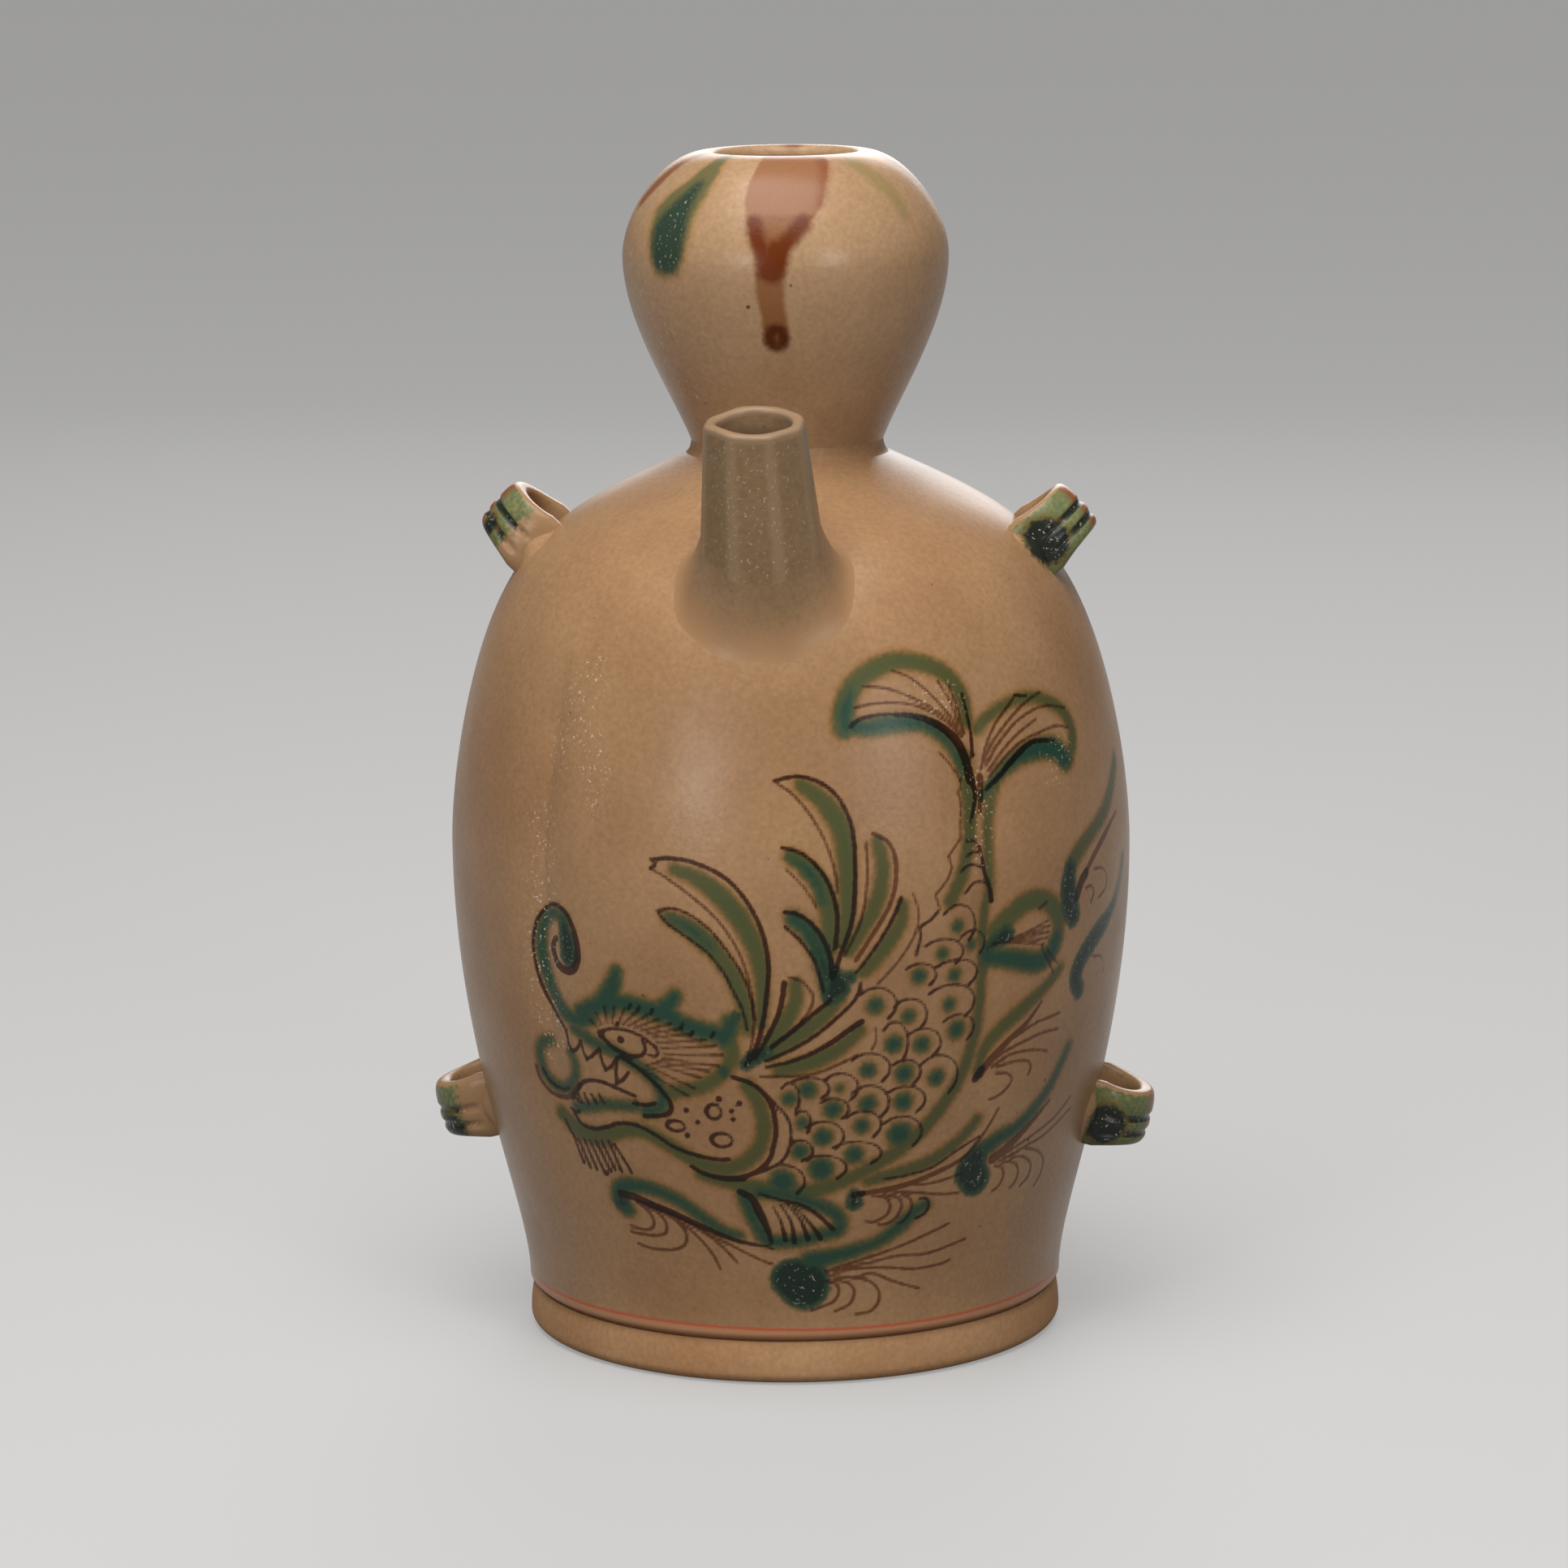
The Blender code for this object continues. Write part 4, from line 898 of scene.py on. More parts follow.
WAVES = [
    ("pool", (4, 4.6, 4.2, 3), (62, 84.2), (60.8, 87), (60.5, 90), (61, 93)),
    ("wash", (3, 2.4, 2.6, 2.2), (61.5, 94), (65, 96.5), (70, 99), (75, 101.5), (80, 105.5), (84, 109)),
    ("line", (2,), (63, 87.5), (64.5, 90), (66, 91.3)),
    ("fine", (1.2, 1.4, 0.6), (66, 91.5), (69, 94), (73, 96.5), (78, 99), (81, 100)),
    ("fine", (0.6,), (66, 88.5), (68, 88.5), (69, 87), (68, 85.5)),
    ("fine", (0.6,), (69, 91.5), (72.5, 91), (74.5, 89), (74, 87), (71, 85.8)),
    ("pool", (3, 3.8, 3.6, 3.8, 3.6, 2.6, 1.4), (65.8, 69.4), (64.4, 71.5), (64.7, 74), (67, 76.5),
     (71, 79), (75, 81), (79, 83.5)),
    ("wash", (2,), (79, 83.5), (82, 87), (84, 90.5)),
    ("fine", (0.6,), (70, 75), (74, 74), (75.5, 71)),
    ("wash", (1.6, 2, 2.4, 2, 1.4), (41, 58), (42, 62), (45, 65.5), (50, 69), (55, 72), (59, 75)),
    ("fine", (1.6, 1.2, 0.6), (41.5, 57.5), (44, 60.5), (47.5, 63.5), (51, 66), (54.5, 69.5)),
    ("line", (1.6,), (40.6, 57), (41.8, 58.5)),
    ("fine", (0.6,), (43, 59), (46, 61), (50, 62.3), (55, 63.3), (60, 63.3)),
    ("fine", (0.6,), (44, 58.7), (48, 60.5), (53, 60.5), (57, 59.7), (57.8, 59.3)),
    ("fine", (0.6,), (45, 58.5), (49, 59), (52.5, 58.5), (53.5, 57), (53, 55.8)),
    ("fine", (0.6,), (45, 57.3), (47.5, 57), (49, 55.7), (48, 54), (46, 52.8), (44.3, 52.5)),
    ("fine", (0.6,), (48, 63.5), (53, 65.5), (57, 66), (60, 66.3)),
    ("pool", (6, 6.4, 4), (43.5, 37), (42, 39), (43, 41.5)),
    ("teal", (3.4, 2.6, 2.4, 2, 1.8), (44, 42.5), (48, 44.5), (52, 45.8), (56, 48.3), (60, 52), (63, 56.5),
     (64.5, 59)),
    ("fine", (2, 1.4, 0.6), (47, 40.5), (50, 42), (54, 44.5), (58, 47.3), (61, 49.5)),
    ("fine", (0.6,), (48, 40.3), (53, 42), (58, 43.5), (64, 45.5), (69, 48.5)),
    ("fine", (0.6,), (50, 40), (56, 41.5), (62, 42.8), (70, 46)),
    ("fine", (0.6,), (48, 39), (50, 38.3), (50.8, 36.5), (50, 34.8), (48.3, 34)),
    ("fine", (0.6,), (49, 39.7), (53, 38.8), (55, 37), (54.8, 34.8), (53.5, 33.8)),
    ("fine", (0.6,), (51, 40.3), (56, 39.3), (58.8, 37.3), (58.7, 35), (56.5, 33.5)),
    ("fine", (0.6,), (56, 41), (60, 39.8), (63, 37.5), (63.3, 34.8), (61.5, 32.5)),
    ("pool", (2.6, 1.6), (17.5, 35.3), (17.3, 37)),
    ("line", (1.2,), (17.3, 36.9), (19, 37.1)),
    ("wash", (1.6, 2, 2, 1.6), (20, 39.5), (25, 40.5), (30, 41.5), (35, 43.5), (39.5, 46.5), (42, 49)),
    ("line", (0.5,), (23, 39.6), (28, 40), (33, 41), (38, 43.5), (43, 45.5)),
    ("fine", (1, 1, 0.5), (18.5, 37), (23, 37.5), (28, 38.2), (34, 39.8), (40, 42), (44, 46), (46.8, 50.5)),
    ("fine", (0.6,), (28, 38.2), (33, 37.8), (40, 38.8)),
    ("fine", (0.6,), (24, 37.2), (30, 36.3), (36, 35.3), (40, 35)),
    ("fine", (0.6,), (21, 36.5), (23.5, 36), (24.8, 34.3), (24, 32.3), (21.5, 31.3), (20, 31.5)),
    ("fine", (0.6,), (23.5, 36.6), (26.3, 35.6), (27.2, 33.8), (26, 31.5), (23.8, 30.6), (22.7, 30.6)),
    ("fine", (0.6,), (27, 36.5), (29, 35), (29.3, 33), (28, 31), (26.8, 30.5)),
    ("pool", (8, 8, 6), (5.5, 20.5), (8, 18.5), (9, 20.5)),
    ("teal", (4, 3, 2.4, 2.2, 2.6, 2), (9, 24), (13, 24.8), (18, 25.8), (23, 27.3), (27, 29.8), (30, 32.3),
     (32.3, 33.5)),
    ("line", (0.6,), (31, 35), (32.5, 34.8), (33.2, 33.3), (32.3, 31.8), (30.5, 31.2)),
    ("fine", (0.6,), (12, 22), (17, 23.3), (22, 24.5), (28, 26), (34, 27.8), (38.5, 29.2)),
    ("fine", (0.6,), (13, 22), (20, 23), (27, 24), (34, 23.8), (40, 24.8), (43.3, 25.4)),
    ("fine", (0.6,), (14, 21.8), (20, 22.2), (26, 21.8), (32, 21), (38, 21.3), (40, 21.8)),
    ("fine", (0.6,), (13, 21), (18, 20.5), (22, 21), (27, 19), (33, 17)),
    ("fine", (0.6,), (12, 20), (14.3, 19.3), (15, 17.8), (14, 16), (11.5, 15), (9.3, 14.3)),
    ("fine", (0.6,), (14, 20.3), (17.3, 19.2), (18.4, 17.3), (17.3, 15.2), (14.3, 14)),
    ("fine", (0.6,), (17.5, 20.5), (21.5, 19.5), (23.7, 17.5), (23.8, 15.2), (22, 13.5), (18.8, 13.2)),
    ("teal", (3, 3.2, 2.6, 2.4, 2.2, 2, 1.6), (-29.5, 32.3), (-31, 34), (-30.5, 36), (-28, 37.2), (-23, 37),
     (-18, 35.5), (-13, 32.5), (-9, 30), (-5.5, 29)),
    ("pool", (2.8,), (-30.5, 33.5)),
    ("line", (1.6, 1.4, 1, 0.5), (-30.5, 35.2), (-27.5, 35), (-24, 34), (-19.5, 32.8), (-15, 31.2),
     (-10, 29.3), (-5, 27.8), (0, 27), (1.5, 26.5)),
    ("fine", (0.6,), (-27, 34.5), (-21, 33), (-16, 31), (-12, 28.8), (-9, 26.5), (-6.3, 23.8)),
    ("fine", (0.6,), (-26, 34.3), (-20, 32.3), (-15.5, 29.5), (-12, 26), (-10.5, 23.5), (-10, 22.2)),
    ("fine", (0.6,), (-24, 34.2), (-17, 31.8), (-11, 28.8), (-5, 26), (0, 23.8), (1, 23.7)),
    ("fine", (0.65,), (-27, 34), (-25, 32.8), (-23.6, 31), (-24, 29.3), (-26.3, 28.6), (-29.3, 29)),
    ("fine", (0.65,), (-25.5, 33.8), (-22.3, 32.3), (-20.8, 30.3), (-21.5, 28.3), (-25, 27.6), (-29.5, 27.8)),
    ("fine", (0.65,), (-22, 33), (-18.3, 31), (-16.6, 28.5), (-17.5, 26.3), (-20.5, 25.2), (-25, 25),
     (-28.2, 25.6)),
]

# Clusters of small pale flecks, most along the grooves: scuffs in the glaze and painted glints
SCUFFS = [
    ("worn", (5, 7, 6, 5), (-42, 62), (-43, 76), (-42.5, 90), (-43, 103)),
    ("worn", (4, 6, 4), (-40, 116), (-37, 124), (-34, 131)),
    ("worn", (3, 5, 3), (-30, 108), (-31, 114), (-33, 120)),
    ("worn", (3, 5, 3), (40, 98), (40, 105), (40, 112)),
    ("worn", (3, 5), (30, 128), (36, 126)),
    ("worn", (4, 4), (58, 112), (62, 114)),
]

BODY_STROKES = [
    *TAIL, *STEM, *BELLY, *SNOUT, *EYE, *JAWS, *FINS, *SIDE_FIN, *BELLY_FIN, *WAVES, *SCUFFS,
    *(mark for scale_size in SCALES for mark in scale_marks(*scale_size)),
]

# Layers of colour, in the order that fired_surface lays them
BODY_LAYERS = [
    ("wash", -1.9, -0.2, "8F6230", 0.55, 1.0, "MIX"),
    ("teal", -1.9, -0.2, "7E5A2C", 0.6, 1.0, "MIX"),
    ("wash", -1.1, 0.4, "4F4C29", 0.94, 1.0, "MIX"),
    ("wash", 0.0, 1.5, "434E2E", 0.8, 1.4, "MIX"),
    ("teal", -1.0, 0.3, "404A2E", 0.94, 1.0, "MIX"),
    ("teal", 0.0, 1.1, "1D3F32", 0.9, 1.2, "MIX"),
    ("pool", -1.0, 0.1, "283F2B", 0.96, 0.9, "MIX"),
    ("pool", 0.0, 1.1, "14241D", 0.97, 0.9, "MIX"),
    ("fine", -0.2, 0.1, "A08577", 1.0, 0.2, "MULTIPLY"),
    ("line", -0.2, 0.1, "6C534A", 1.0, 0.2, "MULTIPLY"),
    ("bare", -0.2, 0.1, "B4553A", 0.9, 0.3, "MIX"),
    ("bare", 0.3, 0.7, "AA7C58", 0.95, 0.3, "MIX"),
]


def pour_hole(grid, outer_rows, inner_rows, root, axis, through):
    """The hole from the body into the spout. Cells whose middles lie within its radius of the spout's
    axis are left out of both walls, the points round them move onto its circle, and a face from wall to
    wall lines each edge between a cell that is kept and one that is not."""

    def from_axis(points):
        """The way to points from the spout's axis, square to it."""
        away = points - root
        return away - (away @ axis)[..., None] * axis

    wall = grid[outer_rows]
    pairs = wall + np.roll(wall, -1, 1)
    open_cells = np.linalg.norm(from_axis((pairs[:-1] + pairs[1:]) / 4), axis=-1) < POUR_HOLE
    framed = np.pad(open_cells, ((1, 1), (0, 0)))
    beside = framed[:-1].astype(int) + framed[1:]
    touching = beside + np.roll(beside, 1, 1)
    row, column = np.nonzero((touching > 0) & (touching < 4))
    away = from_axis(wall[row, column])
    rim = drop(root + away * POUR_HOLE / np.linalg.norm(away, axis=-1, keepdims=True), -axis)
    grid[outer_rows[row], column] = rim
    grid[inner_rows[row], column] = rim - axis * through

    index = np.arange(grid.shape[0] * grid.shape[1]).reshape(grid.shape[:2])
    outer, inner = index[outer_rows], index[inner_rows]
    outer_next, inner_next = np.roll(outer, -1, 1), np.roll(inner, -1, 1)
    low, high = slice(None, -1), slice(1, None)
    edges = (
        (framed[:-2], outer[low], outer_next[low], inner_next[low], inner[low]),
        (framed[2:], outer_next[high], outer[high], inner[high], inner_next[high]),
        (np.roll(open_cells, 1, 1), outer[high], outer[low], inner[low], inner[high]),
        (np.roll(open_cells, -1, 1), outer_next[low], outer_next[high], inner_next[high], inner_next[low]),
    )
    lining = [np.stack([part[open_cells & ~beyond] for part in parts], 1) for beyond, *parts in edges]
    left_out = np.zeros((grid.shape[0] - 1, grid.shape[1]), bool)
    left_out[outer_rows[:-1]] = open_cells
    left_out[inner_rows[1:]] = open_cells
    return left_out, np.vstack(lining)


def make_body():
    """The thrown body: its outline carried round the axis, pressed in by the lobe grooves, with a wall
    inside it."""
    full_turn = 2 * math.pi * PAINT_ROUND + PAINT_LEFT
    across = np.concatenate(
        [
            np.arange(PAINT_LEFT, PAINT_RIGHT, BODY_STEP),
            np.arange(PAINT_RIGHT, PAINT_SIDE_END, BODY_SIDE_STEP),
            np.linspace(PAINT_SIDE_END, full_turn, BODY_BACK_COLUMNS, endpoint=False),
        ]
    )
    angles = across / PAINT_ROUND
    fine_length = length_to(BODY_OUTLINE, PAINT_TOP)
    full_length = length_to(BODY_OUTLINE, math.inf)
    paces = np.concatenate(
        [
            np.arange(0, fine_length, BODY_STEP),
            np.linspace(fine_length, full_length, BODY_SHOULDER_ROWS),
        ]
    )
    outside = paced(BODY_OUTLINE, paces)
    root, axis, normal, *_ = spout_frame()
    facing = float(axis @ normal)
    near_hole = np.abs(paces - length_to(BODY_OUTLINE, root[2])) < POUR_HOLE / facing + HOLE_MARGIN
    hole_paces = paces[near_hole] - BODY_WALL * math.sqrt(1 / facing**2 - 1)
    coarse = np.linspace(0, full_length, BODY_LINING_ROWS)
    below = coarse < hole_paces[0] - HOLE_ROW_GAP
    above = coarse > hole_paces[-1] + HOLE_ROW_GAP
    inside_paces = np.sort(np.append(coarse[below | above], hole_paces))
    wall = paced(BODY_OUTLINE, inside_paces)
    inside = wall - wall_normal(wall[:, 1]).T * BODY_WALL
    floor_z = BASE_Z + BODY_FLOOR
    lined = (inside[:, 0] > THROAT_RADIUS + THROAT_CLEAR) & (inside[:, 1] > floor_z + BODY_WALL)
    kept = inside[lined]
    shoulder = inside[inside[:, 1] > BELLY_Z]
    edge_z = np.interp(THROAT_RADIUS, shoulder[::-1, 0], shoulder[::-1, 1])
    floor_radius = np.interp(floor_z, inside[:, 1], inside[:, 0])
    under = [
        (0, BASE_Z),
        (SEAT_RADIUS, BASE_Z),
        (SEAT_RADIUS + CREASE_LOW[0], BASE_Z + CREASE_LOW[1]),
        (SEAT_RADIUS + CREASE_HIGH[0], SKIRT_Z - CREASE_HIGH[1]),
    ]
    lining = [
        (THROAT_RADIUS, NECK_Z),
        (THROAT_RADIUS, edge_z),
        *kept[::-1],
        (floor_radius, floor_z),
        (0, floor_z),
    ]
    outline = np.vstack([under, outside, lining])
    radius, z = outline[:, :1], outline[:, 1:]
    centred = (angles + math.pi) % (2 * math.pi) - math.pi
    depth = np.where(radius > THROAT_RADIUS + THROAT_CLEAR, lobe_depth(centred[None, :], z), 0)
    grid = around(radius - depth, angles[None, :], z)
    outer = slice(len(under), len(under) + len(outside))
    outer_rows = len(under) + np.flatnonzero(near_hole)
    inner_rows = outer.stop + 1 + len(kept) - np.searchsorted(inside_paces[lined], hole_paces)
    opening = pour_hole(grid, outer_rows, inner_rows, root, axis, BODY_WALL / facing)
    brushed = painted(grid[outer], BODY_STROKES, on_body)
    # Pale flecks: scuffs and painted glints in the clusters, and painted glints in the dark pools
    brushed["worn"] = scuff_glint_shares(brushed, "worn", "pool")
    fields = {}
    for kind, field in brushed.items():
        fields[kind] = np.full(grid.shape[:2], min(0.0, field.min()))
        fields[kind][outer] = field
    glaze_edge = GLAZE_EDGE_Z + wobble(angles, GLAZE_EDGE_WAVE, GLAZE_EDGE_SEED)
    shown = np.arange(len(outline))[:, None] < outer.stop
    fields["bare"] = np.where(shown, glaze_edge - z, -PAINT_REACH)
    # Ash glaze over stoneware, painted under it with iron and copper: satin tan with specks and a grit,
    # brown lines that turn black in the green, and greens that pool dark where the glaze ran thick
    glaze = fired_surface("painted_ash_glaze", GLAZE_LIGHT, GLAZE_DARK, roughness=0.31, layers=BODY_LAYERS)
    return surface("body", grid, glaze, ["body_shell"], fields=fields, opening=opening)


def make_foot():
    """The turned foot: a rounded roll carried round the axis."""
    height = BASE_Z - FOOT_GAP
    roll = (FOOT_RADIUS, FOOT_ROLL_RISE)
    upper = bezier((FOOT_TOP_RADIUS, height), FOOT_UPPER_SHAPE, roll, FOOT_UPPER_STEPS)
    lower = bezier(roll, FOOT_LOWER_SHAPE, (STANDING_RADIUS, 0.0), FOOT_LOWER_STEPS)
    inner = [(STANDING_INNER_RADIUS, 0.0), (FOOT_BORE, FOOT_INNER_RISE), (FOOT_BORE, height)]
    outline = np.vstack([upper, lower[1:], inner])
    angles = np.linspace(0, 2 * math.pi, FOOT_COLUMNS, endpoint=False)
    grid = turned(outline, angles)
    blush = wobble(angles, FOOT_BLUSH_WAVE, FOOT_BLUSH_SEED)[None, :] + 0 * outline[:, :1]
    # Bare stoneware from an open fire: matt buff that blushes orange in places, with dark grains
    layers = [("blush", 0.1, 1.2, "B07C4E", 0.6, 1.2, "MIX")]
    clay = fired_surface("bare_fired_clay", "B28962", "A57B55", roughness=0.8, layers=layers, specks="5A3D28")
    return surface("foot", grid, clay, ["foot_ring"], loop=True, fields={"blush": blush})


# Head: the edges of a pale brown block, of the drip under it and of a green splash, down the wall
BLOCK_LEFT = [(-4.2, 221), (-4.3, 219.5), (-5.6, 215.8), (-5.6, 212.5), (-4.6, 209.8)]
BLOCK_RIGHT = [(16, 221), (15.8, 219.3), (12.4, 215.7), (10.6, 212.4), (8.5, 209.8)]
DRIP_LEFT = [(-4.8, 210.2), (-3.9, 207.5), (-2.7, 204), (-2.6, 196.6), (-1.8, 192.5), (-1.4, 187)]
DRIP_RIGHT = [(8.2, 210), (4.7, 207.1), (3.4, 204.7), (2.5, 200.7), (2.5, 194.2), (3.1, 191.2), (3.3, 187)]
SPLASH_LEFT = [
    (-20.3, 219.3), (-22.5, 216), (-26.5, 213), (-28.3, 210.6), (-27.5, 206.5), (-25.6, 202), (-24, 199.6)
]
SPLASH_RIGHT = [
    (-15.7, 219.2), (-14.7, 217), (-15.1, 213.5), (-16.5, 209.6), (-16.6, 206), (-17.4, 201.9),
    (-18.6, 199.6)
]

HEAD_STROKES = [
    ("umber", (2.4, 2.4, 2.6), (-3.2, 209), (-2.4, 206.2), (-1.3, 203.8), (-0.6, 200.4)),
    ("umber", (2.6, 2.6, 2.6), (6.2, 209), (4.2, 206.8), (2.4, 204.6), (1.2, 200.4)),
    ("umber", (3.2, 3.6, 3.2), (1.0, 204.4), (0.6, 202.5), (0.3, 200.2)),
    ("burnt", (1.7, 1.9, 1.5), *ring(1.0, 188.3, 1.4, 1.7)),
    ("rust", (1.8, 1.4, 0.8), (14.4, 219.3), (12, 215.6), (10.2, 212.2)),
    ("deep", (1.4, 4, 7.6, 7), (-18.8, 215), (-20.2, 212), (-21.8, 207.6), (-21.4, 203)),
    ("olive", (3.2, 3.6, 1.8), (24.1, 218.5), (27.1, 215.7), (29.1, 212.8), (29.8, 209.6)),
    ("brown", (2.6, 3, 3.4, 2.4), (-32.6, 220), (-34.4, 218.6), (-35.7, 215.4), (-38.4, 211.5)),
    ("brown", (2.4, 3, 3.2, 2), (41.6, 219.4), (44.2, 216.8), (47.3, 212.5), (50.4, 208.4)),
    ("brown", (5, 5), (93.6, 219.9), (95, 219.7)),
    ("line", (0.6,), (-4.2, 194.1)),
    # Pale flecks down the splash: scuffs and painted glints
    ("worn", (2, 3, 2), (-35, 203), (-33.5, 199.2), (-31, 194.3), (-28, 192.7),
     (-24.5, 190.2), (-21.2, 188.3)),
    ("worn", (3, 4), (-28, 186), (-24, 178)),
]

HEAD_LAYERS = [
    ("block", -0.6, 0.5, "8C5B3C", 0.85, 0.7, "MIX"),
    ("rust", -1.2, 0.6, "7E4224", 0.55, 0.9, "MIX"),
    ("drip", -0.7, 0.6, "80502A", 0.9, 0.7, "MIX"),
    ("umber", -1.3, 0.7, "622600", 0.94, 0.9, "MIX"),
    ("burnt", -1.0, 0.6, "4C1F0F", 0.92, 0.8, "MIX"),
    ("splash", -2.2, 0.0, "94703A", 0.55, 1.0, "MIX"),
    ("splash", -0.8, 1.2, "5E5C3B", 0.9, 1.4, "MIX"),
    ("deep", -1.8, 1.0, "2A3D31", 0.94, 1.4, "MIX"),
    ("olive", -1.8, 1.0, "827344", 0.6, 1.2, "MIX"),
    ("brown", -1.2, 0.6, "7A4526", 0.85, 0.8, "MIX"),
    ("line", -0.25, 0.1, "5E514C", 1.0, 0.25, "MULTIPLY"),
]


def make_head():
    """The garlic-bulb head: its outline carried round the axis, over a rounded lip and down inside."""
    full = length_to(HEAD_OUTLINE, math.inf)
    outside = paced(HEAD_OUTLINE, np.linspace(0, full, HEAD_ROWS))
    walls = np.linspace(NECK_WALL, HEAD_WALL, HEAD_LINING_ROWS)[:, None]
    coarse = paced(HEAD_OUTLINE, np.linspace(0, full, HEAD_LINING_ROWS))
    inside = coarse - outward(coarse) * walls
    lip = HEAD_WALL / 2
    rim = arc((LIP_POINT[0], TOP_Z - lip), (lip, lip), 90, 270, LIP_STEPS)
    outline = np.vstack([outside, rim[1:-1], inside[:0:-1], (THROAT_RADIUS, HEAD_Z)])
    full_turn = 2 * math.pi * HEAD_ROUND + HEAD_PAINT_LEFT
    across = np.concatenate(
        [
            np.arange(HEAD_PAINT_LEFT, HEAD_PAINT_RIGHT, HEAD_STEP),
            np.linspace(HEAD_PAINT_RIGHT, full_turn, HEAD_BACK_COLUMNS, endpoint=False),
        ]
    )
    grid = turned(outline, across / HEAD_ROUND)
    lip_end = len(outside) + LIP_PAINTED_ROWS
    z = np.where(np.arange(len(outline)) < lip_end, outline[:, 1], 0)[:, None]
    fields = painted(grid, HEAD_STROKES, on_head)
    fields["block"] = between(across[None, :], z, BLOCK_LEFT, BLOCK_RIGHT)
    drip = between(across[None, :], z, DRIP_LEFT, DRIP_RIGHT)
    fields["drip"] = np.minimum(drip, DRIP_LEFT[0][1] - z)
    fields["splash"] = between(across[None, :], z, SPLASH_LEFT, SPLASH_RIGHT)
    # Pale flecks: scuffs and painted glints, and painted glints in the deep green
    fields["worn"] = scuff_glint_shares(fields, "worn", "deep")
    # The same ash glaze, with iron that ran from the lip in brown and copper that splashed it green
    glaze = fired_surface("splashed_ash_glaze", "B08E6B", "A4815F", roughness=0.3, layers=HEAD_LAYERS)
    return surface("head", grid, glaze, ["garlic_head"], loop=True, fields=fields)


def spout_frame():
    """The middle of the spout's root on the wall, its axis, the wall's normal there, and the ways
    across the spout and up from each."""
    z = NECK_Z - SPOUT_DROP
    normal_r, normal_z = wall_normal(z)
    root = np.array([0, -wall_radius(z), z])
    axis = np.array([0, -math.sin(SPOUT_LEAN), math.cos(SPOUT_LEAN)])
    normal = np.array([0, -normal_r, normal_z])
    across = np.array([1.0, 0, 0])
    return root, axis, normal, across, np.cross(axis, across), np.cross(normal, across)


def octagon(turn, sharp):
    """Distance to a regular octagon of unit half width with softened corners: the power mean of the
    distances to its flats."""
    flats = np.linspace(0, 2 * math.pi, SPOUT_FLATS, endpoint=False)
    facing = np.clip(np.cos(turn[..., None] - flats), 0, None)
    return (facing**sharp).sum(-1) ** (-1 / sharp)


def spout_wall(turn, share):
    """Points on the spout's outside at turns round it and shares of the way from root to tip."""
    root, axis, normal, across, tip_up, root_up = spout_frame()
    side = np.cos(turn)[..., None]
    rise = np.sin(turn)[..., None]
    tip = octagon(turn, SPOUT_TIP_CORNERS)[..., None] * SPOUT_TIP_WIDTH / 2
    base = octagon(turn, SPOUT_ROOT_CORNERS)[..., None] * SPOUT_ROOT_WIDTH / 2
    uneven = axis * wobble(turn, SPOUT_UNEVEN, SPOUT_SEED)[..., None]
    middle = root + axis * SPOUT_LENGTH + across * SPOUT_CROOK
    tips = middle + (across * side + tip_up * rise) * tip + uneven
    roots = drop(root + (across * side + root_up * rise) * base, -normal)
    return roots + (tips - roots) * share


def spout_glaze():
    """The finish of the spout and its collar."""
    # A thin greyish ash glaze over pared stoneware: satin brown, rubbed pale on its rim and corners
    layers = [
        ("edge", 0.5, 1.0, "A08466", 0.5, 0.5, "MIX"),
        ("rim", 0.3, 0.8, "967B60", 0.8, 0.5, "MIX"),
        ("skirt", 0.2, 0.75, "9E7956", 1.0, 0.5, "MIX"),
    ]
    return fired_surface("thin_grey_ash_glaze", "927558", "826849", roughness=0.36, layers=layers)


def make_spout():
    """The pared spout: its softened octagon carried from the wall to the tip, over a rounded rim and
    down the round bore."""
    root, axis, _, across, tip_up, _ = spout_frame()
    turn = np.linspace(0, 2 * math.pi, SPOUT_COLUMNS, endpoint=False)
    shares = np.linspace(0, 1 - SPOUT_RIM_ROUND / SPOUT_LENGTH, SPOUT_ROWS)
    outside = [spout_wall(turn, share) for share in shares]
    edge = spout_wall(turn, 1.0)
    tip = root + axis * SPOUT_LENGTH + across * SPOUT_CROOK
    circle = across * np.cos(turn)[:, None] + tip_up * np.sin(turn)[:, None]
    bore = tip + circle * SPOUT_BORE + axis * wobble(turn, SPOUT_UNEVEN, SPOUT_SEED)[:, None]
    wall = SPOUT_TIP_WIDTH / 2 - SPOUT_BORE
    share = SPOUT_RIM_ROUND / wall
    radii = (share, SPOUT_RIM_ROUND)
    outer = arc((share, -SPOUT_RIM_ROUND), radii, SPOUT_RIM_START, 90, SPOUT_RIM_STEPS)
    inner = arc((1 - share, -SPOUT_RIM_ROUND), radii, 90, 0, SPOUT_RIM_STEPS)
    rim = [edge + (bore - edge) * part + axis * depth for part, depth in [*outer, *inner]]
    throat = drop(root + circle * SPOUT_BORE, -axis, -SPOUT_OVERRUN)
    down = np.linspace(SPOUT_BORE_START, 1, SPOUT_BORE_ROWS)
    lining = [bore + (throat - bore) * part for part in down]
    grid = np.stack([*outside, *rim, *lining])
    rows = np.arange(len(grid))[:, None]
    spread = octagon(turn, SPOUT_TIP_CORNERS) - 1
    corner = spread / spread.max()
    on_rim = (rows >= len(outside) - 1) & (rows < len(outside) + len(rim))
    fields = {
        "edge": corner[None, :] * (rows < len(outside)),
        "rim": 1.0 * on_rim + 0 * turn[None, :],
        "worn": SPOUT_WEAR * np.clip(-np.sin(turn), 0, 1)[None, :] * (rows < len(outside)),
    }
    return surface("spout_tube", grid, spout_glaze(), ["spout"], loop=True, fields=fields)


